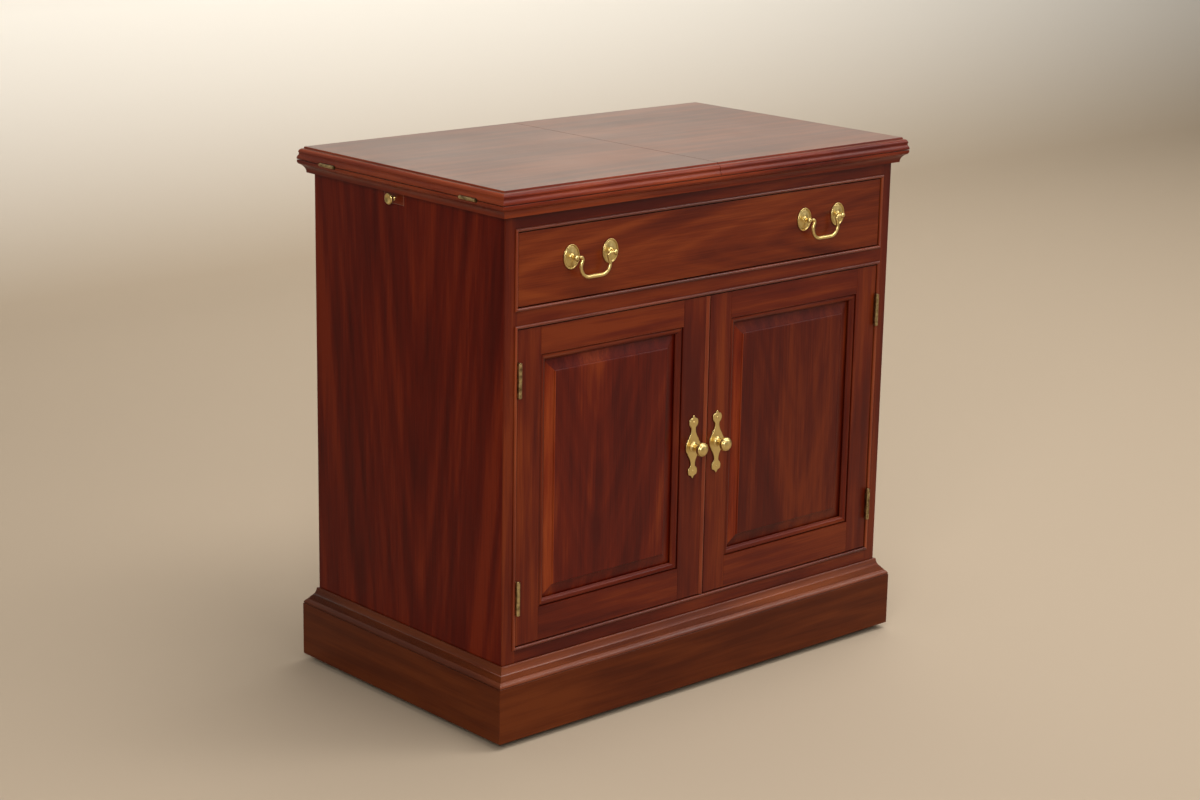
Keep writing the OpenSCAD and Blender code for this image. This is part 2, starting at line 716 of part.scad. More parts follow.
module leaf_hinges_left() {
    color("#8a6a3a") for (y = [-leaf_hinge_y, leaf_hinge_y])
        translate([-leaf_axis_x, mid_y + y, leaf_axis_z]) difference() {
            union() {
                rod_y(-leaf_knuckle_l / 2 + knuckle_gap, leaf_knuckle_l / 2 - knuckle_gap, leaf_barrel_r);
                difference() {
                    translate([0, -leaf_hinge_l / 2, leaf_gap / 2]) cube([leaf_plate_w, leaf_hinge_l, leaf_plate_t]);
                    for (end = [-leaf_hinge_l / 2 - 1, leaf_knuckle_l / 2 - knuckle_gap])
                        rod_y(end, end + leaf_knuckle_l + 1 + knuckle_gap, leaf_barrel_r + barrel_play);
                }
            }
            rod_y(-leaf_knuckle_l, leaf_knuckle_l, leaf_pin_r + pin_play);
        }
}
module leaf_hinges_right() {
    mirror([1, 0, 0]) leaf_hinges_left();
}

// Lopers with their knobs
module loper(y_low) {
    color("#6a2816") block([-side_x, y_low, loper_z], [-side_x + loper_l, y_low + loper_w, loper_z + loper_h]);
}
module loper_left() {
    loper(loper_left_y);
}
module loper_right() {
    mirror([1, 0, 0]) loper(loper_right_y);
}
module loper_knob(y_low) {
    foot_r = 4;
    stem_r = 2.6;
    head_t = 3;
    rim_t = 1.6;
    dish_d = 0.8;
    middle_z = loper_z + loper_h - loper_knob_r - loper_knob_down;
    color("#c9a24a") translate([-side_x, y_low + loper_w / 2, middle_z]) rotate([0, -90, 0]) rotate_extrude()
        polygon([[0, 0], [foot_r, 0], [foot_r, 1], [stem_r, 2], [stem_r, loper_knob_l - 2 * head_t],
            [foot_r + 1, loper_knob_l - head_t - 1], [loper_knob_r, loper_knob_l - head_t],
            [loper_knob_r, loper_knob_l - rim_t], [loper_knob_r - stem_r, loper_knob_l],
            [0, loper_knob_l - dish_d]]);
}
module loper_knob_left() {
    loper_knob(loper_left_y);
}
module loper_knob_right() {
    mirror([1, 0, 0]) loper_knob(loper_right_y);
}

// Drawer
module drawer_groove_cut() {
    block([-box_x + drawer_side_t - drawer_groove, frame_back_y - drawer_groove, box_low_z + drawer_bottom_up],
        [box_x - drawer_side_t + drawer_groove, box_back_y - drawer_side_t + drawer_groove,
            box_low_z + drawer_bottom_up + drawer_bottom_t]);
}
module drawer_front() {
    color("#5e1f12") difference() {
        block([-front_x, front_y, runner_z + front_gap], [front_x, frame_back_y, drawer_top_z - bead_w - front_gap]);
        drawer_groove_cut();
    }
}
module drawer_sides() {
    color("#b58656") difference() {
        both_sides() block([-box_x, frame_back_y, box_low_z], [-box_x + drawer_side_t, box_back_y, box_high_z]);
        drawer_groove_cut();
    }
}
module drawer_back() {
    color("#b58656") difference() {
        block([-box_x + drawer_side_t, box_back_y - drawer_side_t, box_low_z],
            [box_x - drawer_side_t, box_back_y, box_high_z]);
        drawer_groove_cut();
    }
}
module drawer_bottom() {
    color("#c39a68") drawer_groove_cut();
}
// Drawer pulls
function oval(w, h, steps = 40) = [for (i = [0:steps - 1]) [w / 2 * cos(360 * i / steps), h / 2 * sin(360 * i / steps)]];
module at_posts() {
    for (x = [-pull_x, pull_x]) for (side = [-1, 1])
        translate([x + side * post_spacing / 2, front_y, pull_z]) children();
}
module pull_roses() {
    rim = 2.4;
    rim_down = 0.6;
    dish = 0.9;
    color("#c9a24a") at_posts() difference() {
        union() {
            along_y(-dish, 0) polygon(oval(rose_w, rose_h));
            difference() {
                along_y(-rose_t + rim_down, 0) polygon(oval(rose_w, rose_h));
                along_y(-rose_t, 1) polygon(oval(rose_w - 2 * rim, rose_h - 2 * rim));
            }
            along_y(-rose_t, 0) polygon(oval(rose_boss_w, rose_boss_h));
        }
        rod_y(-rose_t - 1, 1, post_r);
    }
}
post_r = 3;
module pull_posts() {
    color("#c9a24a") at_posts() difference() {
        union() {
            rod_y(-bail_y, 0, post_r);
            translate([0, -bail_y, 0]) rotate([0, 90, 0]) sphere(r = ball_r);
        }
        translate([0, -bail_y, 0]) rod_x(-ball_r - 1, ball_r + 1, bail_pin_r + pin_play);
    }
}
// One bail: straight pivot ends, a tight bend, a slanting leg and a wide lower bend
bend_r = 5;
lean = 25;
leg_l = 8;
leg_lap = 0.3;
leg_swell = 0.15;
neck_in = 11;
grip_l = 14;
grip_swell = 0.6;
pin_short = 0.8;
shoulder_gap = 0.5;
bend_x = post_spacing / 2 - neck_in;
leg_top = [bend_x - bend_r * cos(lean), -bend_r - bend_r * sin(lean)];
leg_low = [leg_top[0] + leg_l * sin(lean), leg_top[1] - leg_l * cos(lean)];
low_r = (bail_drop + leg_low[1]) / (1 + sin(lean));
low_mid = [leg_low[0] - low_r * cos(lean), leg_low[1] - low_r * sin(lean)];
// A rod bent round the Y axis from one angle to another, in the XZ plane
module bent_rod(centre, r, from, to) {
    translate([centre[0], 0, centre[1]]) rotate([90, 0, 0]) rotate([0, 0, from])
        rotate_extrude(angle = to - from) translate([r, 0]) circle(r = bail_r);
}
module bail_half() {
    shoulder_x = post_spacing / 2 - ball_r - shoulder_gap;
    rod_x(shoulder_x - 1, post_spacing / 2 + ball_r - pin_short, bail_pin_r);
    rod_x(bend_x, shoulder_x, bail_r);
    bent_rod([bend_x, -bend_r], bend_r, 90, 180 + lean);
    translate([leg_top[0], 0, leg_top[1]]) rotate([0, 180 - lean, 0])
        translate([0, 0, -leg_lap]) cylinder(r = bail_r + leg_swell, h = leg_l + 2 * leg_lap);
    bent_rod(low_mid, low_r, -90, lean);
    translate([0, 0, -bail_drop]) rod_x(0, low_mid[0], bail_r);
    translate([0, 0, -bail_drop]) rod_x(0, grip_l / 2, bail_r + grip_swell);
}
module bail(x) {
    color("#c9a24a") translate([x, front_y - bail_y, pull_z]) both_sides() bail_half();
}
module bail_left() {
    bail(-pull_x);
}
module bail_right() {
    bail(pull_x);
}

// Doors: the left one reaches the half-round strip, the right one starts behind its gap.
// The sticking's outer edge frames the panel from field_out_x to field_in_x.
field_out_x = front_x - door_stile_w;
stick_low_z = panel_low_z + door_bottom_rail_h;
stick_high_z = panel_high_z - door_top_rail_h;
stick_w_all = field_out_x - field_in_x;
stick_x = (field_out_x + field_in_x) / 2;
stick_z = (stick_low_z + stick_high_z) / 2;
// Section of the frame round a panel: a quirk, an ovolo, a lip and the panel's groove
quirk_d = 1.3;
quirk_w = 0.9;
stick_lip = 1;
groove_y = stick_d + stick_lip;
stick_fillet = 0.8;
ovolo_back = 1.2;
ovolo_drop = 5.5;
panel_play = 0.3;
module stick_outline() {
    groove_low_y = groove_y + tongue_t + 2 * panel_play;
    translate([front_y, 0]) polygon(concat(
        [[0, 0], [quirk_d, 0], [quirk_d, quirk_w]],
        arc(stick_d - ovolo_back, quirk_w + ovolo_drop, stick_d - ovolo_back, 205, 110, 5),
        [[stick_d, stick_w - stick_fillet], [stick_d, stick_w], [groove_y, stick_w],
            [groove_y, stick_w - panel_groove], [groove_low_y, stick_w - panel_groove], [groove_low_y, stick_w],
            [frame_t, stick_w], [frame_t, 0]]));
}
// One sticking strip of the right door; side 0 is the bottom and the sides go round by 90 degrees
module stick_side(side) {
    length = side % 2 == 0 ? stick_w_all : stick_high_z - stick_low_z;
    drop = side % 2 == 0 ? (stick_high_z - stick_low_z) / 2 : stick_w_all / 2;
    translate([stick_x, 0, stick_z]) rotate([0, side * 90, 0]) translate([0, 0, -drop])
        mitred_strip(length, stick_w, front_y - 1, frame_back_y + 1) stick_outline();
}
module door_plate_mortises() {
    for (z = [hinge_low_z, hinge_high_z])
        block([front_x - door_plate_t, front_y - 1, z - door_hinge_l / 2],
            [front_x + 1, front_y + door_plate_d, z + door_hinge_l / 2]);
}
module door_stiles(inner_x) {
    color("#6a2414") {
        difference() {
            union() {
                block([field_out_x, front_y, panel_low_z], [front_x, frame_back_y, panel_high_z]);
                stick_side(3);
            }
            door_plate_mortises();
        }
        union() {
            block([inner_x, front_y, panel_low_z], [field_in_x, frame_back_y, panel_high_z]);
            stick_side(1);
        }
    }
}
module door_rails() {
    color("#642212") {
        union() {
            block([field_in_x, front_y, panel_low_z], [field_out_x, frame_back_y, stick_low_z]);
            stick_side(0);
        }
        union() {
            block([field_in_x, front_y, stick_high_z], [field_out_x, frame_back_y, panel_high_z]);
            stick_side(2);
        }
    }
}
// Section of the raised panel, from its middle to its edge
tongue_gap = 0.5;
field_step = 1.4;
field_round = 0.5;
field_round_w = 1.5;
function panel_half(half) = let (sight = half - stick_w, tongue = sight + panel_groove - tongue_gap) [
    [tongue, groove_y + panel_play + tongue_t],
    [tongue, groove_y + panel_play],
    [sight, groove_y + panel_play],
    [sight - bevel_w, field_d + field_step],
    [sight - bevel_w - field_round, field_d + field_round],
    [sight - bevel_w - field_round_w, field_d]];
module door_panel() {
    half_w = stick_w_all / 2;
    half_h = (stick_high_z - stick_low_z) / 2;
    color("#742a16") intersection() {
        translate([stick_x, front_y, stick_z - half_h]) linear_extrude(2 * half_h)
            polygon(concat(panel_half(half_w), mirrored(panel_half(half_w))));
        along_x(field_in_x, field_out_x) translate([front_y, stick_z])
            polygon([for (p = concat(panel_half(half_h), mirrored(panel_half(half_h)))) [p[1], p[0]]]);
    }
}
module door_right_stiles() {
    door_stiles(right_door_in_x);
}
module door_right_rails() {
    door_rails();
}
module door_right_panel() {
    door_panel();
}
module door_left_stiles() {
    difference() {
        mirror([1, 0, 0]) door_stiles(-left_door_in_x);
        block([left_door_in_x - astragal_w, front_y - 1, panel_low_z - 1],
            [left_door_in_x + 1, front_y + astragal_in, panel_high_z + 1]);
    }
}
module door_left_rails() {
    mirror([1, 0, 0]) door_rails();
}
module door_left_panel() {
    mirror([1, 0, 0]) door_panel();
}
module door_astragal() {
    strip_r = (astragal_w * astragal_w / 4 + astragal_out * astragal_out) / (2 * astragal_out);
    color("#7c3420") translate([left_door_in_x - astragal_w / 2, front_y, panel_low_z]) linear_extrude(door_h) {
        translate([-astragal_w / 2, 0]) square([astragal_w, astragal_in]);
        intersection() {
            translate([0, strip_r - astragal_out]) circle(r = strip_r);
            translate([-astragal_w / 2, -astragal_out]) square([astragal_w, astragal_out + eps]);
        }
    }
}
// Door hinges: five knuckles on a pin, the second and the fourth on the door
knuckle_l = door_hinge_l / 5;
module at_door_hinges() {
    for (z = [hinge_low_z, hinge_high_z]) translate([door_axis_x, door_axis_y, z - door_hinge_l / 2]) children();
}
module door_hinges_fixed() {
    plate_x = stile_in_x - door_axis_x;
    color("#7a6034") both_sides() at_door_hinges() {
        translate([0, 0, -1]) cylinder(r = door_barrel_r - 1, h = 1);
        translate([0, 0, door_hinge_l]) cylinder(r = door_barrel_r - 1, h = 1);
        cylinder(r = door_pin_r, h = door_hinge_l);
        for (i = [0, 2, 4]) translate([0, 0, i * knuckle_l]) {
            cylinder(r = door_barrel_r, h = knuckle_l);
            translate([plate_x, 0, 0]) cube([door_plate_t, door_axis_out, knuckle_l]);
        }
        translate([plate_x, door_axis_out, 0]) cube([door_plate_t, door_plate_d, door_hinge_l]);
    }
}
module door_right_hinges() {
    plate_x = front_x - door_plate_t - door_axis_x;
    color("#7a6034") at_door_hinges() difference() {
        union() {
            for (i = [1, 3]) translate([0, 0, i * knuckle_l + knuckle_gap / 2]) {
                cylinder(r = door_barrel_r, h = knuckle_l - knuckle_gap);
                translate([plate_x, 0, 0]) cube([door_plate_t, door_axis_out, knuckle_l - knuckle_gap]);
            }
            translate([plate_x, door_axis_out, 0]) cube([door_plate_t, door_plate_d, door_hinge_l]);
        }
        cylinder(r = door_pin_r + pin_play, h = door_hinge_l);
    }
}
module door_left_hinges() {
    mirror([1, 0, 0]) door_right_hinges();
}
// Door knobs on wavy plates
knob_foot_r = knob_stem_r - 1;
plate_end_z = knob_plate_h / 2 - plate_end_down;
// Half of a plate: a waist that narrows in a hollow curve, a round end and a pointed tip
function waist(steps = 6) = [for (i = [0:steps]) let (t = i / steps)
    [plate_neck_w / 2 + (plate_waist_w - plate_neck_w) / 2 * (1 - t) * (1 - t),
        plate_waist_up + (plate_neck_up - plate_waist_up) * t]];
module knob_plate_outline() {
    circle(r = plate_mid_r);
    for (up = [0, 1]) mirror([0, up]) {
        half = concat([[plate_waist_w / 2, 0]], waist(), [[plate_neck_w / 2, plate_end_z]]);
        polygon(concat(half, mirrored(half)));
        translate([0, plate_end_z]) circle(r = plate_end_r);
        tip = [[plate_tip_w / 2, plate_end_z + plate_tip_up], [plate_point_w / 2, knob_plate_h / 2]];
        polygon(concat(tip, mirrored(tip)));
    }
}
module knob_plate() {
    color("#c9a24a") translate([knob_x, front_y, knob_z]) {
        difference() {
            along_y(-knob_plate_t, 0) knob_plate_outline();
            rod_y(-knob_plate_t - 1, 1, knob_foot_r);
        }
        for (z = [-plate_end_z, plate_end_z]) translate([0, 0, z])
            rod_y(-knob_plate_t - nail_out, -knob_plate_t + eps, nail_r);
    }
}
module door_knob() {
    color("#c9a24a") translate([knob_x, front_y, knob_z]) rotate([90, 0, 0]) rotate_extrude() polygon(concat(
        [[0, 0], [knob_foot_r, 0], [knob_foot_r, knob_plate_t], [knob_collar_r, knob_plate_t],
            [knob_collar_r, knob_plate_t + knob_collar_t], [knob_stem_r, knob_plate_t + 2 * knob_collar_t],
            [knob_stem_r, knob_out - knob_head_h], [knob_r - 2, knob_out - knob_flare_h],
            [knob_r, knob_out - knob_rim_h], [knob_r, knob_out - knob_dome_h]],
        arc(0, knob_out - knob_dome_h, knob_r - knob_rim_in, 5, 40, 4),
        [[0, knob_out]]));
}
module door_right_knob_plate() {
    knob_plate();
}
module door_right_knob() {
    door_knob();
}
module door_left_knob_plate() {
    mirror([1, 0, 0]) knob_plate();
}
module door_left_knob() {
    mirror([1, 0, 0]) door_knob();
}

// Casters: a plate with a race and a kingpin, a swivelling fork and a wheel
race_r = 12;
race_h = 3;
race_play = 0.3;
caster_plate_t = 2.5;
fork_plate_t = 2.5;
fork_top_z = caster_h - caster_plate_t - race_h;
// Riveted head that holds the fork on the kingpin
rivet_t = 2.2;
rivet_r = kingpin_r + 2;
rivet_z = fork_top_z - fork_plate_t - race_play - rivet_t;
module caster_plates() {
    color("#9a9a94") at_casters() {
        translate([-caster_plate_w / 2, -caster_plate_l / 2, caster_h - caster_plate_t])
            cube([caster_plate_w, caster_plate_l, caster_plate_t]);
        translate([0, 0, fork_top_z + race_play]) cylinder(r = race_r, h = race_h - race_play + eps);
        translate([0, 0, rivet_z]) cylinder(r = kingpin_r, h = fork_top_z - rivet_z + race_play + 1);
        translate([0, 0, rivet_z]) cylinder(r = rivet_r, h = rivet_t);
    }
}
module caster_fork(x, y) {
    leg_t = 2;
    leg_play = 0.8;
    leg_in = wheel_w / 2 + leg_play;
    root_front = 6;
    root_back = 8;
    eye = 6;
    color("#9a9a94") translate([x, y, 0]) difference() {
        union() {
            translate([0, 0, fork_top_z - fork_plate_t]) cylinder(r = race_r + 1, h = fork_plate_t);
            for (side = [-1, 1]) translate([side * (leg_in + leg_t / 2), 0, 0]) along_x(-leg_t / 2, leg_t / 2)
                polygon([[-root_front, fork_top_z], [root_back, fork_top_z], [caster_trail + eye, wheel_r],
                    [caster_trail + eye - 2, wheel_r - eye], [caster_trail - eye + 2, wheel_r - eye],
                    [caster_trail - eye - 1, wheel_r]]);
            translate([-leg_in - leg_t, -root_front, fork_top_z - fork_plate_t])
                cube([2 * (leg_in + leg_t), root_front + root_back, fork_plate_t]);
            translate([0, caster_trail, wheel_r]) rod_x(-leg_in - leg_t - 1, leg_in + leg_t + 1, axle_r);
        }
        cylinder(r = kingpin_r + pin_play, h = caster_h);
    }
}
module caster_wheel(x, y) {
    color("#2c2c2c") translate([x, y + caster_trail, wheel_r]) difference() {
        union() {
            rod_x(-wheel_w / 2, wheel_w / 2, wheel_r - 1);
            rod_x(-wheel_w / 2 + 2, wheel_w / 2 - 2, wheel_r);
        }
        rod_x(-wheel_w, wheel_w, axle_r + pin_play);
    }
}
module caster_fork_front_left() {
    caster_fork(-caster_x, caster_front_y);
}
module caster_fork_front_right() {
    caster_fork(caster_x, caster_front_y);
}
module caster_fork_back_left() {
    caster_fork(-caster_x, caster_back_y);
}
module caster_fork_back_right() {
    caster_fork(caster_x, caster_back_y);
}
module caster_wheel_front_left() {
    caster_wheel(-caster_x, caster_front_y);
}
module caster_wheel_front_right() {
    caster_wheel(caster_x, caster_front_y);
}
module caster_wheel_back_left() {
    caster_wheel(-caster_x, caster_back_y);
}
module caster_wheel_back_right() {
    caster_wheel(caster_x, caster_back_y);
}

case_side_left();
case_side_right();
case_back();
case_bottom();
face_stiles();
face_top_rail();
face_mid_rail();
face_bottom_rail();
cock_beads();
dust_frame();
drawer_guides();
loper_guides();
fixed_top();
shelf();
shelf_pins();
door_catches();
plinth_boards();
plinth_cap();
corner_blocks();
caster_plates();
leaf_hinges_fixed();
door_hinges_fixed();
leaf_left();
leaf_right();
leaf_hinges_left();
leaf_hinges_right();
loper_left();
loper_right();
loper_knob_left();
loper_knob_right();
drawer_front();
drawer_sides();
drawer_back();
drawer_bottom();
pull_roses();
pull_posts();
bail_left();
bail_right();
door_left_stiles();
door_left_rails();
door_left_panel();
door_left_hinges();
door_left_knob_plate();
door_left_knob();
door_astragal();
door_right_stiles();
door_right_rails();
door_right_panel();
door_right_hinges();
door_right_knob_plate();
door_right_knob();
caster_fork_front_left();
caster_fork_front_right();
caster_fork_back_left();
caster_fork_back_right();
caster_wheel_front_left();
caster_wheel_front_right();
caster_wheel_back_left();
caster_wheel_back_right();
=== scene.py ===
import math

import bpy
from mathutils import Matrix, Vector


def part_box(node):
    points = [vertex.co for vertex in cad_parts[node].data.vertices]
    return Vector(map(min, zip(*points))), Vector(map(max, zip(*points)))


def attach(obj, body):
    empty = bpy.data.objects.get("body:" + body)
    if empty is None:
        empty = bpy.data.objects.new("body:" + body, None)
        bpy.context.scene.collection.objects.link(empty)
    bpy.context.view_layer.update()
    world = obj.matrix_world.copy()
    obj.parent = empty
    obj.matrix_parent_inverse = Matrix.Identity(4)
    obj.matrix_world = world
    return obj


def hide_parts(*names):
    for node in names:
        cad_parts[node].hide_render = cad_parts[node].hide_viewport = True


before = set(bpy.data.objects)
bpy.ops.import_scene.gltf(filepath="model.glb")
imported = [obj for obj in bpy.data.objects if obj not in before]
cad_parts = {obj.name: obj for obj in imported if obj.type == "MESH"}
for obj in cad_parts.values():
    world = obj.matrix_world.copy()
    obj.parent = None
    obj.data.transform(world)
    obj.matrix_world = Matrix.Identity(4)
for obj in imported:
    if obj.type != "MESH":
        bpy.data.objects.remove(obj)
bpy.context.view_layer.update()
MM = 0.001

# Studio
# A pale floor that turns up into a pale wall, a camera left of the cabinet's front and a
# little above its top, and broad soft lamps: one on the left side, one over the top.
CAMERA_PLACE = (-2.75615, -3.04561, 1.52471)
CAMERA_AROUND = math.radians(-41.963)
CAMERA_ABOVE = math.radians(14.851)
CAMERA_ROLL = math.radians(1.023)
WALL_BEHIND = 3.6
WALL_HIGH = 9.0
ROOM_HALF = 16.0
COVE_R = 0.9
FLOOR_COLOUR = (0.36, 0.29, 0.215)
WALL_COLOUR = (0.85, 0.82, 0.755)
SKY_COLOUR = (0.86, 0.82, 0.76)
SKY_LIGHT = 0.15
SKY_SEEN = 0.8
SOFTBOX_COLOUR = (1.0, 0.97, 0.93)
WASH_COLOUR = (1.0, 0.98, 0.94)
NEAR = 1e-5

camera_data = bpy.data.cameras.new("camera")
camera_data.sensor_width = 36
camera_data.lens = 75.59
camera_data.clip_start = 0.05
camera_data.clip_end = 60
camera = bpy.data.objects.new("camera", camera_data)
bpy.context.scene.collection.objects.link(camera)
camera.matrix_world = (
    Matrix.Translation(CAMERA_PLACE)
    @ Matrix.Rotation(CAMERA_AROUND, 4, "Z")
    @ Matrix.Rotation(math.pi / 2 - CAMERA_ABOVE, 4, "X")
    @ Matrix.Rotation(CAMERA_ROLL, 4, "Z")
)
bpy.context.scene.camera = camera
bpy.context.scene.view_settings.view_transform = "Standard"


def nothing_selected():
    bpy.ops.object.select_all(action="DESELECT")


def settle():
    """Moves the selected piece's place, turn and size into its mesh."""
    bpy.ops.object.transform_apply(location=True, rotation=True, scale=True)


def open_marked():
    """Enters edit mode with what was marked in code selected."""
    bpy.ops.object.mode_set(mode="EDIT")


def open_mesh(choice="SELECT"):
    """Enters edit mode with all of the mesh selected, or none of it with DESELECT."""
    open_marked()
    bpy.ops.mesh.select_all(action=choice)


def close_mesh():
    bpy.ops.object.mode_set(mode="OBJECT")


def unmark(kind):
    """Clears the piece's marks, so that faces or edges can be marked in code."""
    open_mesh("DESELECT")
    bpy.ops.mesh.select_mode(type=kind)
    close_mesh()


def face_outwards():
    """Turns all faces of the open mesh outwards and closes it."""
    bpy.ops.mesh.select_all(action="SELECT")
    bpy.ops.mesh.normals_make_consistent(inside=False)
    close_mesh()


def lamp(name, place, aim, size, power, colour=SOFTBOX_COLOUR):
    """A square soft lamp at a place, turned towards a point."""
    data = bpy.data.lights.new(name, "AREA")
    data.size = size
    data.energy = power
    data.color = colour
    light = bpy.data.objects.new(name, data)
    light.location = place
    light.rotation_euler = (Vector(aim) - Vector(place)).to_track_quat("-Z", "Y").to_euler()
    bpy.context.scene.collection.objects.link(light)


def new_material(name):
    """A new material, its nodes, its shader and each point's place on the piece."""
    material = bpy.data.materials.new(name)
    material.use_nodes = True
    tree = material.node_tree
    place = tree.nodes.new("ShaderNodeTexCoord").outputs["Object"]
    return material, tree, tree.nodes["Principled BSDF"], place


def ramp(tree, driver, *stops):
    """Colours by a value, through stops of (value, colour)."""
    node = tree.nodes.new("ShaderNodeValToRGB")
    elements = node.color_ramp.elements
    for i, (value, colour) in enumerate(stops):
        stop = elements[i] if i < 2 else elements.new(value)
        stop.position = value
        stop.color = (*colour, 1)
    tree.links.new(driver, node.inputs["Fac"])
    return node.outputs["Color"]


def spread(tree, driver, low, high):
    """Carries a value from 0 to 1 over to a range."""
    node = tree.nodes.new("ShaderNodeMapRange")
    node.inputs["To Min"].default_value = low
    node.inputs["To Max"].default_value = high
    tree.links.new(driver, node.inputs["Value"])
    return node.outputs["Result"]


def studio_paint():
    """Pale floor paint that turns into paler wall paint up the cove, and is clear from behind."""
    paint, tree, shader, place = new_material("studio_paint")
    height = tree.nodes.new("ShaderNodeSeparateXYZ")
    tree.links.new(place, height.inputs["Vector"])
    tone = ramp(tree, height.outputs["Z"], (0.02, FLOOR_COLOUR), (0.7, WALL_COLOUR))
    tree.links.new(tone, shader.inputs["Base Color"])
    shader.inputs["Roughness"].default_value = 0.8
    shader.inputs["Specular IOR Level"].default_value = 0.2
    facing = tree.nodes.new("ShaderNodeNewGeometry")
    clear = tree.nodes.new("ShaderNodeBsdfTransparent")
    one_sided = tree.nodes.new("ShaderNodeMixShader")
    tree.links.new(facing.outputs["Backfacing"], one_sided.inputs["Fac"])
    tree.links.new(shader.outputs["BSDF"], one_sided.inputs[1])
    tree.links.new(clear.outputs["BSDF"], one_sided.inputs[2])
    tree.links.new(one_sided.outputs["Shader"], tree.nodes["Material Output"].inputs["Surface"])
    return paint


def open_floor_back():
    """Opens the floor with its back edge selected, where it meets the wall."""
    for edge in floor.data.edges:
        ends = [floor.data.vertices[v].co for v in edge.vertices]
        edge.select = all(end.y > WALL_BEHIND - NEAR and end.z < NEAR for end in ends)
    open_marked()


nothing_selected()
bpy.ops.mesh.primitive_plane_add(size=1, location=(0, WALL_BEHIND - ROOM_HALF, 0))
floor = bpy.context.object
floor.name = "studio_floor"
floor.scale = (2 * ROOM_HALF, 2 * ROOM_HALF, 1)
settle()
unmark("EDGE")
open_floor_back()
bpy.ops.mesh.extrude_edges_move(TRANSFORM_OT_translate={"value": (0, 0, WALL_HIGH)})
close_mesh()
open_floor_back()
bpy.ops.mesh.bevel(offset=COVE_R, segments=14, affect="EDGES")
close_mesh()
bpy.ops.object.shade_smooth()
floor.data.materials.append(studio_paint())

lamp("softbox_left", (-3.0, -2.6, 2.2), (-0.3, 0.0, 0.5), 1.6, 100)
lamp("softbox_over", (0.4, -0.9, 3.9), (0.1, 0, 0.5), 2.4, 135)
lamp("softbox_right", (3.2, -2.4, 3.0), (0.1, 0, 0.5), 1.7, 50)
lamp("card_right", (3.6, -4.0, 1.15), (0, -0.2, 0.5), 2.2, 12)
lamp("floor_wash", (0, -8.0, 4.5), (0, -8.5, 0), 4.0, 190, WASH_COLOUR)
lamp("wall_wash", (3.2, 1.3, 4.3), (3.5, 3.6, 1.0), 3.6, 150, WASH_COLOUR)
world = bpy.data.worlds.new("world")
world.use_nodes = True
sky_tree = world.node_tree
sky = sky_tree.nodes["Background"]
sky.inputs["Color"].default_value = (*SKY_COLOUR, 1)
ray = sky_tree.nodes.new("ShaderNodeLightPath")
sky_strength = spread(sky_tree, ray.outputs["Is Camera Ray"], SKY_LIGHT, SKY_SEEN)
sky_tree.links.new(sky_strength, sky.inputs["Strength"])
bpy.context.scene.world = world

# Top leaves
# Two veneered boards with a moulded edge on three sides: a small riser, an ovolo, a quirk and a
# full round nose. They meet at a seam with eased arrises and fold out on hinges at the ends.
HANDS = ((-1, "left"), (1, "right"))
FLAT = 0.9
ALONG_X = (0, math.pi / 2, 0)


def arc(out, up, radius, start, end, steps):
    """Points of an arc, as (out, up), between two angles in degrees."""
    turns = [math.radians(start + (end - start) * i / steps) for i in range(steps + 1)]
    return [(out + radius * math.cos(a), up + radius * math.sin(a)) for a in turns]


def mm(points, above=0):
    """(out, up) points given in millimetres, with up counted from a height in metres."""
    return [(out * MM, above + up * MM) for out, up in points]


def near(a, b):
    return abs(a - b) < NEAR


def pick(piece):
    """Selects one piece alone."""
    nothing_selected()
    piece.select_set(True)
    bpy.context.view_layer.objects.active = piece


def run_profile(width, depth, profile):
    """Extrudes a new loop's edges along the steps of a profile: (out, up) from its line."""
    open_mesh()
    bpy.ops.mesh.select_mode(type="EDGE")
    out_now, up_now = 0, 0
    for i, (out, up) in enumerate(profile):
        if i:
            bpy.ops.mesh.extrude_edges_move(TRANSFORM_OT_translate={"value": (0, 0, up - up_now)})
        else:
            bpy.ops.transform.translate(value=(0, 0, up))
        grow_x = (width + 2 * out) / (width + 2 * out_now)
        grow_y = (depth + 2 * out) / (depth + 2 * out_now)
        bpy.ops.transform.resize(value=(grow_x, grow_y, 1), center_override=(0, 0, 0))
        out_now, up_now = out, up


def moulding(name, width, depth, profile):
    """A rectangle of edges round the origin, run along a profile and left open."""
    nothing_selected()
    bpy.ops.mesh.primitive_circle_add(vertices=4, radius=math.sqrt(0.5), rotation=(0, 0, math.pi / 4))
    strip = bpy.context.object
    strip.name = name
    settle()
    strip.scale = (width, depth, 1)
    settle()
    run_profile(width, depth, profile)
    return strip


def close_slab(up_low):
    """Fills the last loop, which is selected, and the first one."""
    bpy.ops.mesh.edge_face_add()
    close_mesh()
    slab = bpy.context.object
    for edge in slab.data.edges:
        edge.select = all(slab.data.vertices[v].co.z < up_low + NEAR for v in edge.vertices)
    for face in slab.data.polygons:
        face.select = False
    open_marked()
    bpy.ops.mesh.edge_face_add()
    face_outwards()


def close_ring():
    """Joins a ring's last loop to its first one."""
    bpy.ops.mesh.select_all(action="SELECT")
    bpy.ops.mesh.region_to_loop()
    bpy.ops.mesh.bridge_edge_loops()
    face_outwards()


def move_to(piece, place, turn=None):
    """Puts a piece in its place in the frame, turned if a turn is given."""
    pick(piece)
    if turn:
        piece.rotation_euler = turn
    piece.location = place
    settle()


def smooth(piece, degrees=35):
    """Shades a piece smooth up to an angle, with its big flat faces kept level."""
    pick(piece)
    bpy.ops.object.shade_smooth_by_angle(angle=math.radians(degrees))
    level = piece.modifiers.new("level", "WEIGHTED_NORMAL")
    level.keep_sharp = True
    bpy.ops.object.modifier_apply(modifier=level.name)


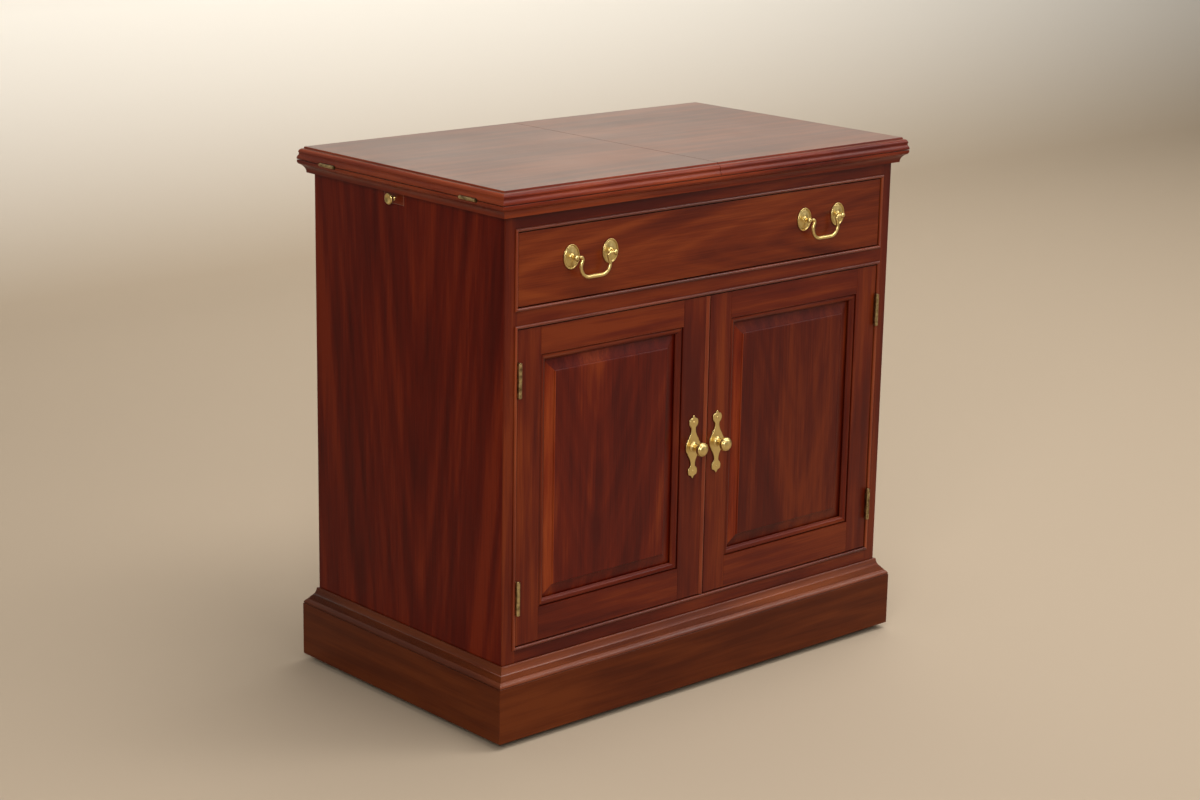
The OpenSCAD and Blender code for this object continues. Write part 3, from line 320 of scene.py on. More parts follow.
def ease(piece, width, wanted=lambda middle, along: True):
    """Rounds the arrises whose middle and direction pass a test."""
    pick(piece)
    unmark("EDGE")
    points = piece.data.vertices
    for edge in piece.data.edges:
        a, b = (points[v].co for v in edge.vertices)
        edge.select = wanted((a + b) / 2, (b - a).normalized())
    open_marked()
    bpy.ops.mesh.bevel(offset=width, segments=2, affect="EDGES")
    close_mesh()


def cut_away(piece, cutter):
    """Takes the cutter's shape out of the piece, and the cutter away."""
    carve = piece.modifiers.new("carve", "BOOLEAN")
    carve.operation = "DIFFERENCE"
    carve.solver = "EXACT"
    carve.object = cutter
    pick(piece)
    bpy.ops.object.modifier_apply(modifier=carve.name)
    bpy.data.objects.remove(cutter)


def noise(tree, place, scale, detail):
    node = tree.nodes.new("ShaderNodeTexNoise")
    node.inputs["Scale"].default_value = scale
    node.inputs["Detail"].default_value = detail
    tree.links.new(place, node.inputs["Vector"])
    return node.outputs["Fac"]


def bump(tree, shader, height, strength, deep):
    """Raises and sinks the surface by a pattern."""
    node = tree.nodes.new("ShaderNodeBump")
    node.inputs["Strength"].default_value = strength
    node.inputs["Distance"].default_value = deep
    tree.links.new(height, node.inputs["Height"])
    tree.links.new(node.outputs["Normal"], shader.inputs["Normal"])


def value_mix(tree, low, high, weight):
    """low and high mixed by a fixed weight."""
    mix = tree.nodes.new("ShaderNodeMix")
    mix.inputs[0].default_value = weight
    tree.links.new(low, mix.inputs[2])
    tree.links.new(high, mix.inputs[3])
    return mix.outputs[0]


def along_grain(tree, place, grain, move, across, along, detail):
    """Noise drawn out along the grain: across and along are its repeats per metre."""
    lie = tree.nodes.new("ShaderNodeMapping")
    lie.inputs["Location"].default_value = move
    lie.inputs["Scale"].default_value = [along if axis == grain else across for axis in "XYZ"]
    tree.links.new(place, lie.inputs["Vector"])
    return noise(tree, lie.outputs["Vector"], 1.0, detail)


def maths(tree, operation, first, second):
    """One Math node; second is a number or a node's output."""
    node = tree.nodes.new("ShaderNodeMath")
    node.operation = operation
    tree.links.new(first, node.inputs[0])
    if isinstance(second, (int, float)):
        node.inputs[1].default_value = second
    else:
        tree.links.new(second, node.inputs[1])
    return node.outputs[0]


def paint_crevice_shade(tree, colour, reach, darkest):
    """Puts a colour or a node's output on the shader, with painted shade that darkens it in corners and
    gaps.
    """
    crevice = tree.nodes.new("ShaderNodeAmbientOcclusion")
    crevice.samples = 6
    crevice.inputs["Distance"].default_value = reach
    depth = spread(tree, crevice.outputs["AO"], darkest, 1)
    depth.node.inputs["From Min"].default_value = 0.15
    depth.node.inputs["From Max"].default_value = 0.75
    painted_shade = tree.nodes.new("ShaderNodeMix")
    painted_shade.data_type = "RGBA"
    painted_shade.blend_type = "MULTIPLY"
    painted_shade.inputs["Factor"].default_value = 1.0
    if isinstance(colour, tuple):
        painted_shade.inputs["A"].default_value = (*colour, 1)
    else:
        tree.links.new(colour, painted_shade.inputs["A"])
    tree.links.new(depth, painted_shade.inputs["B"])
    tree.links.new(painted_shade.outputs["Result"], tree.nodes["Principled BSDF"].inputs["Base Color"])


def flames(tree, place, grain, across, centre, steep, shift):
    """Long nested arches along the grain, with their tips on a line at centre across it."""
    axes = tree.nodes.new("ShaderNodeSeparateXYZ")
    tree.links.new(place, axes.inputs["Vector"])
    aside = maths(tree, "SUBTRACT", axes.outputs[across], centre)
    round_tip = maths(tree, "ADD", maths(tree, "MULTIPLY", aside, aside), 0.0004)
    arms = maths(tree, "MULTIPLY", maths(tree, "SQRT", round_tip, 0.5), steep)
    height = maths(tree, "SUBTRACT", axes.outputs[grain], arms)
    flow = tree.nodes.new("ShaderNodeCombineXYZ")
    tree.links.new(maths(tree, "MULTIPLY", height, 6.5), flow.inputs[0])
    tree.links.new(maths(tree, "MULTIPLY", aside, 2.0), flow.inputs[1])
    flow.inputs[2].default_value = shift
    return noise(tree, flow.outputs["Vector"], 1.0, 5)


def mahogany(name, grain, colours, shift, across=None, centre=0.0, steep=4.0, rough=0.33, gloss=0.2):
    """Mahogany under satin lacquer; colours run from the darkest streak to the lightest."""
    material, tree, shader, place = new_material(name)
    move = (shift, 1.7 * shift, 0.6 * shift)
    figure = along_grain(tree, place, grain, move, across=8, along=2.6, detail=4)
    streaks = along_grain(tree, place, grain, move, across=60, along=4.5, detail=6)
    fibres = along_grain(tree, place, grain, move, across=520, along=11, detail=3)
    tone = value_mix(tree, figure, streaks, 0.5)
    if across:
        tone = value_mix(tree, tone, flames(tree, place, grain, across, centre, steep, shift), 0.44)
    tone = value_mix(tree, tone, fibres, 0.16)
    dark, middle, light = colours
    stain = ramp(tree, tone, (0.405, dark), (0.595, light), (0.5, middle))
    # Painted shade: the stain is darkened in corners, quirks and gaps, where shade falls.
    paint_crevice_shade(tree, stain, 4 * MM, 0.1)
    smudge = noise(tree, place, 6, 4)
    tree.links.new(spread(tree, smudge, rough - 0.05, rough + 0.08), shader.inputs["Roughness"])
    bump(tree, shader, fibres, 0.12, 0.3 * MM)
    shader.inputs["Specular IOR Level"].default_value = gloss
    return material


def dress(piece, body, slot, *materials):
    """Gives a finished piece its materials and its body. The slot is not used."""
    marks = [face.material_index for face in piece.data.polygons]
    piece.data.materials.clear()
    for material in materials:
        piece.data.materials.append(material)
    if len(materials) > 1:
        piece.data.polygons.foreach_set("material_index", marks)
    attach(piece, body)


def mark(piece, choice):
    """Gives each face the material that choice names for its middle and its normal."""
    for face in piece.data.polygons:
        face.material_index = choice(face.center, face.normal)


def grain_by_side(piece):
    """Material 0 on flat tops, 1 on mouldings that run along X, 2 on those along Y."""
    mark(piece, lambda m, n: 0 if abs(n.z) > FLAT else 1 if abs(n.y) > abs(n.x) else 2)


TOP_COLOURS = ((0.055, 0.012, 0.004), (0.085, 0.021, 0.007), (0.125, 0.035, 0.012))
MOULD_COLOURS = ((0.07, 0.0045, 0.001), (0.13, 0.013, 0.0022), (0.2, 0.03, 0.006))
leaf_veneer = mahogany("leaf_veneer", "X", TOP_COLOURS, 3.1, rough=0.34, gloss=0.5)
mould_x = mahogany("moulding_along_x", "X", MOULD_COLOURS, 5.2)
mould_y = mahogany("moulding_along_y", "Y", MOULD_COLOURS, 7.4)

left_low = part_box("leaf_left")[0]
right_low, right_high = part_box("leaf_right")
top_width, top_depth, leaf_thick = right_high - left_low
top_middle = (left_low + right_high) / 2
seam_half = right_low.x
LEAF_EDGE = mm([(-0.4, 0)] + arc(-8, 1.4, 8, -6, 44, 9) + [(-2.6, 8.1)]) + mm(
    [(-2.6, -10.5)] + arc(-8.3, -9.5, 6.5, 0, 75, 9)
    + [(-8.4, -2.9), (-8.9, -0.8), (-9.3, -0.2), (-9.9, 0)], leaf_thick)
SCOOP_R = 3.3 * MM
HINGE_L = 38 * MM
LEAF_BARREL_R = 2.8 * MM
hinge_low, hinge_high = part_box("leaf_hinges_fixed")
hinge_ys = (hinge_low.y + HINGE_L / 2, hinge_high.y - HINGE_L / 2)
hinge_z = (hinge_low.z + hinge_high.z) / 2
hinge_x = hinge_high.x - LEAF_BARREL_R


def round_bar(sides, radius, length):
    """A round bar at the origin, its axis along Z."""
    nothing_selected()
    bpy.ops.mesh.primitive_cylinder_add(vertices=sides, radius=radius, depth=length)
    return bpy.context.object


def scoop(x, y):
    """The half round slot that clears one hinge's barrel, as a solid to cut with."""
    slot_shape = round_bar(32, SCOOP_R, 2.6 * SCOOP_R)
    move_to(slot_shape, (0, 0, 0), ALONG_X)
    for point in slot_shape.data.vertices:
        point.co.y += HINGE_L / 2 if point.co.y > 0 else -HINGE_L / 2
    move_to(slot_shape, (x, y, hinge_z))
    return slot_shape


for side, hand in HANDS:
    name = "leaf_" + hand
    leaf = moulding(name + "_board", top_width, top_depth, LEAF_EDGE)
    close_slab(0)
    move_to(leaf, (*top_middle.xy, left_low.z))
    seam = side * seam_half
    open_mesh()
    bpy.ops.mesh.bisect(plane_co=(seam, 0, 0), plane_no=(side, 0, 0), use_fill=True, clear_inner=True)
    close_mesh()
    ease(leaf, 0.3 * MM, lambda m, d: near(m.x, seam) and abs(d.y) > FLAT and near(m.z, right_high.z))
    for y in hinge_ys:
        cut_away(leaf, scoop(side * hinge_x, y))
    grain_by_side(leaf)
    smooth(leaf)
    dress(leaf, name, "top_wood", leaf_veneer, mould_x, mould_y)
    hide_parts(name)

# Fixed top
# A veneered board glued and screwed down on the case, with a cove worked under its edge. The
# hinges of the leaves are let in flush at its ends, each with a scoop for its barrel.
top_low, top_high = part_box("fixed_top")
FIXED_EDGE = mm([(-11, 0)] + arc(3.5, 0.6, 14.5, 175, 110, 12)) + mm(
    arc(-3.2, -3.2, 3, -55, -15, 5) + [(-0.2, -3.2), (-0.2, -0.6), (-0.8, 0)], top_high.z - top_low.z)
PLATE_W = 26 * MM
PLATE_T = 1 * MM


def board(name, corner, opposite, ease_width=0.0):
    """A plain board between two opposite corners, with its arrises eased."""
    nothing_selected()
    bpy.ops.mesh.primitive_cube_add(size=1)
    plank = bpy.context.object
    plank.name = name
    plank.scale = [abs(b - a) for a, b in zip(corner, opposite)]
    settle()
    move_to(plank, [(a + b) / 2 for a, b in zip(corner, opposite)])
    if ease_width:
        ease(plank, ease_width)
        smooth(plank)
    return plank


def one_piece(name, *parts):
    """Joins parts into one mesh."""
    nothing_selected()
    for part in parts:
        part.select_set(True)
    bpy.context.view_layer.objects.active = parts[0]
    bpy.ops.object.join()
    joined = bpy.context.object
    joined.name = name
    return joined


fixed_board = moulding("fixed_top_board", top_width, top_depth, FIXED_EDGE)
close_slab(0)
move_to(fixed_board, (*top_middle.xy, top_low.z))
for side in (-1, 1):
    for y in hinge_ys:
        cut_away(fixed_board, scoop(side * hinge_x, y))
        mortise = board("mortise", (side * hinge_x, y - HINGE_L / 2, top_high.z - PLATE_T),
                        (side * (hinge_x - PLATE_W), y + HINGE_L / 2, top_high.z))
        cut_away(fixed_board, mortise)
grain_by_side(fixed_board)
smooth(fixed_board)
dress(fixed_board, "cabinet", "top_wood", leaf_veneer, mould_x, mould_y)
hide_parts("fixed_top")

# Leaf hinges
# Small antique brass butts, two at each end of the top. Their plates lie flush between the
# leaf and the fixed top, held by three screws each, and their barrels sit in the scoops.
KNUCKLE_GAP = 0.3 * MM
PIN_R = 1.5 * MM
PIN_END = 0.4 * MM
BARREL_EASE = 0.25 * MM
SCREW_R = 2.1 * MM
SCREW_T = 0.5 * MM
SCREW_SUNK = 0.1 * MM
SCREW_ROW = 12 * MM
SCREW_IN = {-1: 11 * MM, 0: 18 * MM, 1: 11 * MM}
SLOT_TURN = 0.4
ALONG_Y = (math.pi / 2, 0, 0)
ALONG_Z = (0, 0, 0)


def metal(name, colour, rough, wear, tarnish=None, dented=0.0):
    """Metal whose shine varies a little, with tarnish in blotches if it is given."""
    material, tree, shader, place = new_material(name)
    shader.inputs["Metallic"].default_value = 1.0
    cloud = noise(tree, place, 140, 5)
    tree.links.new(spread(tree, cloud, rough - wear, rough + wear), shader.inputs["Roughness"])
    # Painted shade: the colour is darkened in corners and gaps, where shade falls.
    if tarnish:
        paint_crevice_shade(tree, ramp(tree, cloud, (0.35, tarnish), (0.62, colour)), 2 * MM, 0.3)
    else:
        paint_crevice_shade(tree, colour, 2.5 * MM, 0.25)
    if dented:
        bump(tree, shader, cloud, dented, 0.2 * MM)
    return material


def barrel(radius, length, place, turn):
    """A round bar with eased rims, its axis along Z before it is turned."""
    bar = round_bar(40, radius, length)
    ease(bar, BARREL_EASE, lambda m, d: abs(d.z) < 0.5 and near(abs(m.z), length / 2))
    move_to(bar, place, turn)
    smooth(bar)
    return bar


def countersunk(place, turn, radius=SCREW_R):
    """A slotted screw head, flush with its face, its top along Z before it is turned."""
    head = round_bar(28, radius, SCREW_T)
    ease(head, 0.15 * MM, lambda m, d: abs(d.z) < 0.5 and m.z > 0)
    cut_away(head, board("slot_cut", (-radius, -SCREW_T / 2, 0), (radius, SCREW_T / 2, 2 * SCREW_T)))
    move_to(head, place, turn)
    return head


aged_brass = metal("aged_brass", (0.5, 0.38, 0.18), 0.36, 0.08, tarnish=(0.16, 0.1, 0.045), dented=0.25)
knuckle = HINGE_L / 3
fixed_parts = []
for side, hand in HANDS:
    moving_parts = []
    plate_far = side * (hinge_x - PLATE_W)
    plate_near = side * (hinge_x - PIN_R)
    room_far = side * (hinge_x - SCOOP_R)
    for y in hinge_ys:
        axis = (side * hinge_x, y, hinge_z)
        for end in (-1, 1):
            place = (side * hinge_x, y + end * knuckle, hinge_z)
            fixed_parts.append(barrel(LEAF_BARREL_R, knuckle, place, ALONG_Y))
        fixed_parts.append(barrel(PIN_R, HINGE_L + 2 * PIN_END, axis, ALONG_Y))
        moving_parts.append(barrel(LEAF_BARREL_R, knuckle - 2 * KNUCKLE_GAP, axis, ALONG_Y))
        for parts, z, face_z, ends, turn in (
            (fixed_parts, top_high.z - PLATE_T, top_high.z - SCREW_SUNK, (0,), ALONG_Z),
            (moving_parts, left_low.z, left_low.z + SCREW_SUNK, (-1, 1), (math.pi, 0, SLOT_TURN)),
        ):
            plate = board("plate", (plate_far, y - HINGE_L / 2, z),
                          (plate_near, y + HINGE_L / 2, z + PLATE_T))
            for end in ends:
                middle = y + end * knuckle
                half = knuckle / 2 + KNUCKLE_GAP
                room = board("room", (plate_near, middle - half, z - PLATE_T),
                             (room_far, middle + half, z + 2 * PLATE_T))
                cut_away(plate, room)
            parts.append(plate)
            for row, inward in SCREW_IN.items():
                place = (side * (hinge_x - inward), y + row * SCREW_ROW, face_z)
                parts.append(countersunk(place, turn))
    moving = one_piece("leaf_hinges_%s_brass" % hand, *moving_parts)
    dress(moving, "leaf_" + hand, "aged_brass", aged_brass)
    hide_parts("leaf_hinges_" + hand)
leaf_butts = one_piece("leaf_hinges_fixed_brass", *fixed_parts)
dress(leaf_butts, "cabinet", "aged_brass", aged_brass)
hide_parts("leaf_hinges_fixed")

# Lopers
# Two solid bars that slide out under the top's ends to carry the open leaves. Each has a
# turned brass knob on a stem, with a dished face, screwed into its end.
LOPER_COLOURS = ((0.06, 0.005, 0.001), (0.11, 0.011, 0.002), (0.17, 0.025, 0.005))
# Paler colours for the rim round each loper's end: a painted highlight on its eased arrises.
RIM_LIT_COLOURS = ((0.16, 0.05, 0.03), (0.22, 0.075, 0.045), (0.3, 0.11, 0.07))
LOPER_RIM = 1.1 * MM
LOPER_EASE = 0.5 * MM
CASE_SIDE_X = 423 * MM
loper_wood = mahogany("loper_wood", "X", LOPER_COLOURS, 2.3)
loper_end = mahogany("loper_end_grain", "Y", LOPER_COLOURS, 9.1, rough=0.36)
loper_lit_rim = mahogany("loper_painted_rim_highlight", "Y", RIM_LIT_COLOURS, 4.4)
bright_brass = metal("bright_brass", (0.68, 0.52, 0.21), 0.335, 0.05)


def turned(name, profile, place, turn, steps=56):
    """Turned work: a circle run along a profile of (radius, height), closed at both ends."""
    nothing_selected()
    first = profile[0][0]
    bpy.ops.mesh.primitive_circle_add(vertices=steps, radius=first)
    work = bpy.context.object
    work.name = name
    run_profile(2 * first, 2 * first, [(radius - first, up) for radius, up in profile])
    close_slab(profile[0][1])
    move_to(work, place, turn)
    smooth(work, 40)
    return work


for side, hand in HANDS:
    name = "loper_" + hand
    low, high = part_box(name)
    bar = board(name + "_bar", low, high)
    pick(bar)
    unmark("FACE")
    for face in bar.data.polygons:
        face.select = face.normal.x * side > FLAT
    open_marked()
    bpy.ops.mesh.inset(thickness=LOPER_RIM)
    close_mesh()
    # The inset end face takes end grain, and the rim round it the painted highlight.
    for face in bar.data.polygons:
        at_end = face.normal.x * side > FLAT
        face.material_index = (1 if face.select else 2) if at_end else 0
    end_x = low.x if side < 0 else high.x
    sides = (low.y, high.y, low.z, high.z)
    ease(bar, LOPER_EASE, lambda m, d: near(m.x, end_x) and any(map(near, (m.y, m.y, m.z, m.z), sides)))
    smooth(bar)
    dress(bar, name, "case_veneer", loper_wood, loper_end, loper_lit_rim)
    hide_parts(name)
    knob_low, knob_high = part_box("loper_knob_" + hand)
    knob_r = (knob_high.z - knob_low.z) / 2 / MM
    out = knob_high.x - knob_low.x
    knob_face = mm([(4, 0), (4, 0.8), (3.2, 1.4), (2.6, 2.2)]) + mm(
        [(2.6, -6.2), (3.4, -5.2), (5, -4), (knob_r - 1, -3.3), (knob_r, -2.7), (knob_r, -1.8)]
        + arc(knob_r - 2.2, -2, 2, 20, 80, 5)
        + [(knob_r - 3, -0.1), (knob_r - 4, -0.9), (3, -1.6), (1, -1.75)], out)
    middle = (knob_low + knob_high) / 2
    place = (side * CASE_SIDE_X, *middle.yz)
    knob = turned(name + "_knob", knob_face, place, (0, side * math.pi / 2, 0))
    dress(knob, name, "bright_brass", bright_brass)
    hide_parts("loper_knob_" + hand)

# Case
# Veneered panels, glued to the face frame in front and grooved for the thin back. Slots at
# the head of the sides let the lopers through.
SIDE_COLOURS = ((0.05, 0.0018, 0.0005), (0.085, 0.0045, 0.001), (0.135, 0.012, 0.002))
LOPER_PLAY = 0.3 * MM
SHELF_EASE = 1.2 * MM
PAST = 10 * MM
side_veneer = mahogany("side_veneer", "Z", SIDE_COLOURS, 1.3,
                       across="Y", centre=-0.03, steep=7.0, gloss=0.1)
back_veneer = mahogany("back_veneer", "Z", SIDE_COLOURS, 6.1, rough=0.42)
shelf_veneer = mahogany("shelf_veneer", "X", SIDE_COLOURS, 4.7, rough=0.38)


def finish_as_built(finish, *names):
    """Gives pieces that keep their solid's plain shape a finish."""
    for name in names:
        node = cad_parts[name]
        node.data.materials.clear()
        node.data.materials.append(finish)


for side, hand in HANDS:
    name = "case_side_" + hand
    low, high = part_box(name)
    panel = board(name + "_panel", low, high)
    bar_low, bar_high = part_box("loper_" + hand)
    loper_slot = board("loper_slot", (low.x - PAST, bar_low.y - LOPER_PLAY, bar_low.z - LOPER_PLAY),
                       (high.x + PAST, bar_high.y + LOPER_PLAY, high.z + PAST))
    cut_away(panel, loper_slot)
    smooth(panel)
    dress(panel, "cabinet", "case_veneer", side_veneer)
    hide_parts(name)
shelf_board = board("shelf_board", *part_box("shelf"), SHELF_EASE)
dress(shelf_board, "cabinet", "case_veneer", shelf_veneer)
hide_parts("shelf")
finish_as_built(back_veneer, "case_back")
finish_as_built(shelf_veneer, "case_bottom")

# Face frame
# Two stiles and three rails of solid mahogany, joined flush, with a rebate for the bead
# round both openings. Its arrises are eased by hand.
FRAME_COLOURS = ((0.055, 0.0035, 0.001), (0.09, 0.0085, 0.0015), (0.135, 0.019, 0.003))
BEAD_W = 5 * MM
BEAD_IN = 8 * MM
FRONT_GAP = 1.5 * MM
STILE_WIDE = 24.8 * MM
CORNER_EASE = 1.8 * MM
VENEER_T = 0.1 * MM
DOOR_HINGE_L = 54 * MM
DOOR_HINGE_END = 1 * MM
DOOR_PLATE_DEEP = 17 * MM
FIXED_PLATE_X = (398.2 * MM, 399.4 * MM)
MOVING_PLATE_X = (395.5 * MM, 396.7 * MM)
RECESS_PLAY = 1 * MM
frame_z = mahogany("frame_wood_upright", "Z", FRAME_COLOURS, 2.9)
frame_x = mahogany("frame_wood_level", "X", FRAME_COLOURS, 8.3)
bead_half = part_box("cock_beads")[1].x
drawer_low, drawer_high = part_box("drawer_front")
door_low, door_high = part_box("door_left_stiles")
stile_low, stile_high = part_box("face_stiles")
front_y = stile_low.y
openings = [
    (low.z - FRONT_GAP - BEAD_W, high.z + FRONT_GAP + BEAD_W)
    for low, high in ((drawer_low, drawer_high), (door_low, door_high))
]
butts_low, butts_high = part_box("door_hinges_fixed")
hinge_inset = DOOR_HINGE_END + DOOR_HINGE_L / 2
hinge_heights = (butts_low.z + hinge_inset, butts_high.z - hinge_inset)


def clear_bead_rooms(piece):
    """Cuts the rebates of both openings."""
    for low_z, high_z in openings:
        room = board("bead_room", (-bead_half, front_y - PAST, low_z),
                     (bead_half, front_y + BEAD_IN, high_z))
        cut_away(piece, room)


def hinge_recess(x_near, x_far, z):
    """Room for one plate of a door hinge."""
    return board("recess", (x_near, front_y - PAST, z - DOOR_HINGE_L / 2),
                 (x_far, front_y + DOOR_PLATE_DEEP, z + DOOR_HINGE_L / 2))


def clear_fixed_plates(piece):
    """Cuts the shallow recesses of the fixed door hinge plates."""
    for side in (-1, 1):
        for z in hinge_heights:
            x_near = side * (FIXED_PLATE_X[0] - RECESS_PLAY)
            cut_away(piece, hinge_recess(x_near, side * FIXED_PLATE_X[1], z))


stiles = one_piece(
    "face_stiles_wood",
    board("stile", stile_low, (stile_low.x + STILE_WIDE, *stile_high.yz)),
    board("stile", (stile_high.x - STILE_WIDE, *stile_low.yz), stile_high),
)
ease(stiles, CORNER_EASE,
     lambda m, d: abs(d.z) > FLAT and near(m.y, front_y) and near(abs(m.x), stile_high.x))
clear_bead_rooms(stiles)
clear_fixed_plates(stiles)
smooth(stiles)
mark(stiles, lambda m, n: abs(n.x) > FLAT and abs(m.x) > stile_high.x - VENEER_T)
dress(stiles, "cabinet", "frame_wood", frame_z, side_veneer)
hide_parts("face_stiles")
catch_low, catch_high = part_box("door_catches")
catch_r = (catch_high.y - catch_low.y) / 2
catch_tall = catch_high.z - catch_low.z
for name in ("face_top_rail", "face_mid_rail", "face_bottom_rail"):
    rail = board(name + "_wood", *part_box(name))
    clear_bead_rooms(rail)
    if name == "face_mid_rail":
        for side in (-1, 1):
            hole = round_bar(32, catch_r, 2 * catch_tall)
            move_to(hole, (side * (catch_high.x - catch_r), catch_low.y + catch_r, catch_low.z))
            cut_away(rail, hole)
    smooth(rail)
    dress(rail, "cabinet", "frame_wood", frame_x)
    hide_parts(name)

# Cock beads
# Half-round mahogany beads glued into the rebates round the drawer and the doors, mitred at
# the corners and standing proud of the frame.
LEVEL_COLOURS = ((0.06, 0.007, 0.002), (0.1, 0.014, 0.004), (0.15, 0.026, 0.008))
# Lighter colours for the upright beads than for the level ones: painted light, as from a lamp on the
# left.
UPRIGHT_LIT_COLOURS = ((0.1, 0.01, 0.0022), (0.17, 0.026, 0.0055), (0.24, 0.048, 0.012))
BEAD_EDGE = mm(
    [(-0.02, -7.98), (-0.02, 0), (-0.02, 0.5)]
    + arc(-2.5, 0.5, 2.5, 8, 172, 12)
    + [(-5, 0.5), (-5, -7.98)]
)
bead_x = mahogany("bead_wood_level", "X", LEVEL_COLOURS, 3.3, gloss=0.5)
bead_lit_z = mahogany("bead_lit_upright", "Z", UPRIGHT_LIT_COLOURS, 5.8, gloss=0.35)


def sides_by_corner(piece, middle_x, half_width, levels):
    """Material 0 on strips along the given levels and 1 on upright ones, parted at the mitres."""
    mark(piece, lambda m, n: half_width - abs(m.x - middle_x) <= min(abs(m.z - z) for z in levels))


bead_rings = []
for low_z, high_z in openings:
    wide, tall = 2 * bead_half, high_z - low_z
    ring = moulding("bead_ring", wide, tall, BEAD_EDGE)
    close_ring()
    move_to(ring, (0, front_y, (low_z + high_z) / 2), ALONG_Y)
    bead_rings.append(ring)
beads = one_piece("cock_bead_strips", *bead_rings)
clear_fixed_plates(beads)
sides_by_corner(beads, 0, bead_half, [level for ends in openings for level in ends])
smooth(beads, 40)
dress(beads, "cabinet", "frame_wood", bead_x, bead_lit_z)
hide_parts("cock_beads")

# Drawer
# One wide drawer front of figured mahogany on a box of pale secondary wood, grooved for its
# bottom.
DRAWER_COLOURS = ((0.065, 0.006, 0.001), (0.12, 0.0155, 0.002), (0.18, 0.032, 0.005))
DRAWER_EASE = 0.9 * MM
drawer_wood = mahogany("drawer_front_wood", "X", DRAWER_COLOURS, 6.6,
                       across="Z", centre=0.73, steep=6.0)
front_board = board("drawer_front_board", drawer_low, drawer_high, DRAWER_EASE)
cut_away(front_board, board("groove", *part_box("drawer_bottom")))
smooth(front_board)
dress(front_board, "drawer", "drawer_front_wood", drawer_wood)
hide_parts("drawer_front")

# Drawer pulls
# Cast brass: oval roses with a raised rim and a domed middle, turned posts with a collar and a
# ball, and a swan-neck bail that swings in the balls.
ROSE_W = 31.4 * MM
ROSE_H = 38.4 * MM
HALF_SPACING = 39.5
POST_OUT = 12
BALL_R = 4.4
PIN_HOLE_R = 2.05 * MM
ROSE_EDGE = mm(
    [(-0.3, 0), (0, 0.4), (0, 1.1)]
    + arc(-0.9, 1.2, 0.8, 20, 160, 7)
    + [(-1.8, 0.9), (-2.2, 0.4), (-3.1, 0.35), (-3.6, 0.9), (-4.1, 1.15)]
    + [(-6.5, 1.1), (-8.8, 1.3), (-10.2, 1.9), (-12.6, 2)]
)
POST_FACE = mm(
    [(5.2, 1.2), (5.2, 2.7), (4.6, 3.4), (3.4, 4), (2.9, 5.2), (2.7, 6.6), (2.9, 8.1)]
    + arc(0, POST_OUT, BALL_R, -46, 75, 11)
)
rose_low, rose_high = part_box("pull_roses")
pull_x = rose_high.x - ROSE_W / 2 - HALF_SPACING * MM
pull_z = (rose_low.z + rose_high.z) / 2
bail_y = front_y - POST_OUT * MM
roses = []
posts = []
for pull in (-pull_x, pull_x):
    for side in (-1, 1):
        x = pull + side * HALF_SPACING * MM
        nothing_selected()
        bpy.ops.mesh.primitive_circle_add(vertices=64, radius=0.5)
        rose = bpy.context.object
        rose.scale = (ROSE_W, ROSE_H, 1)
        settle()
        run_profile(ROSE_W, ROSE_H, ROSE_EDGE)
        close_slab(0)
        move_to(rose, (x, front_y, pull_z), ALONG_Y)
        roses.append(rose)
        post = turned("post", POST_FACE, (x, front_y, pull_z), ALONG_Y, 40)
        cut_away(post, barrel(PIN_HOLE_R, 2.4 * BALL_R * MM, (x, bail_y, pull_z), ALONG_X))
        posts.append(post)
for parts, name in ((roses, "pull_roses"), (posts, "pull_posts")):
    brass = one_piece(name + "_brass", *parts)
    smooth(brass, 40)
    dress(brass, "drawer", "bright_brass", bright_brass)
    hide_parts(name)

BAIL_R = 2.6
BAIL_DROP = 32.4
NECK_R = 4.2
LEG = 4
LEAN = 22
SWEEP_STEPS = 20
lean_out, lean_up = math.cos(math.radians(LEAN)), math.sin(math.radians(LEAN))
neck = arc(HALF_SPACING - 8.8, -NECK_R, NECK_R, 90, 180 + LEAN, 14)
leg_x = neck[-1][0] + LEG * lean_up
leg_z = neck[-1][1] - LEG * lean_out
sweep_r = (BAIL_DROP + leg_z) / (1 + lean_up)
sweep = arc(leg_x - sweep_r * lean_out, leg_z - sweep_r * lean_up, sweep_r, LEAN, -90, SWEEP_STEPS)
pin_end = HALF_SPACING + BALL_R - 0.8
shoulder = HALF_SPACING - BALL_R - 0.5
half_line = (
    [(pin_end, 0, 2), (shoulder + 0.05, 0, 2), (shoulder - 0.05, 0, 2.9)]
    + [(shoulder - 1, 0, 2.9), (shoulder - 1.6, 0, BAIL_R)]
    + [(x, z, BAIL_R) for x, z in neck]
    + [(x, z, BAIL_R + 0.35 * i / SWEEP_STEPS) for i, (x, z) in enumerate(sweep)]
    + [(9, -BAIL_DROP, 3.05), (5, -BAIL_DROP, 3.15), (0, -BAIL_DROP, 3.2)]
)
bail_line = half_line + [(-x, z, r) for x, z, r in reversed(half_line[:-1])]


def drawn(name, points, closed, **settings):
    """A line through (x, y, z, radius) points, thickened by a curve's settings, as a mesh."""
    curve = bpy.data.curves.new(name, "CURVE")
    for setting, value in settings.items():
        setattr(curve, setting, value)
    line = curve.splines.new("POLY")
    line.points.add(len(points) - 1)
    for point, (x, y, z, radius) in zip(line.points, points):
        point.co = (x, y, z, 1)
        point.radius = radius
    line.use_cyclic_u = closed
    shape = bpy.data.objects.new(name, curve)
    bpy.context.scene.collection.objects.link(shape)
    pick(shape)
    bpy.ops.object.convert(target="MESH")
    open_mesh()
    bpy.ops.mesh.remove_doubles(threshold=1e-6)
    face_outwards()
    return bpy.context.object


for side, hand in HANDS:
    name = "bail_" + hand
    points = [(x * MM, 0, z * MM, r * MM) for x, z, r in bail_line]
    rod = drawn(name + "_rod", points, False, dimensions="3D", bevel_depth=1,
                bevel_resolution=8, use_fill_caps=True)
    move_to(rod, (side * pull_x, bail_y, pull_z))
    smooth(rod, 45)
    dress(rod, name, "bright_brass", bright_brass)
    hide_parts(name)

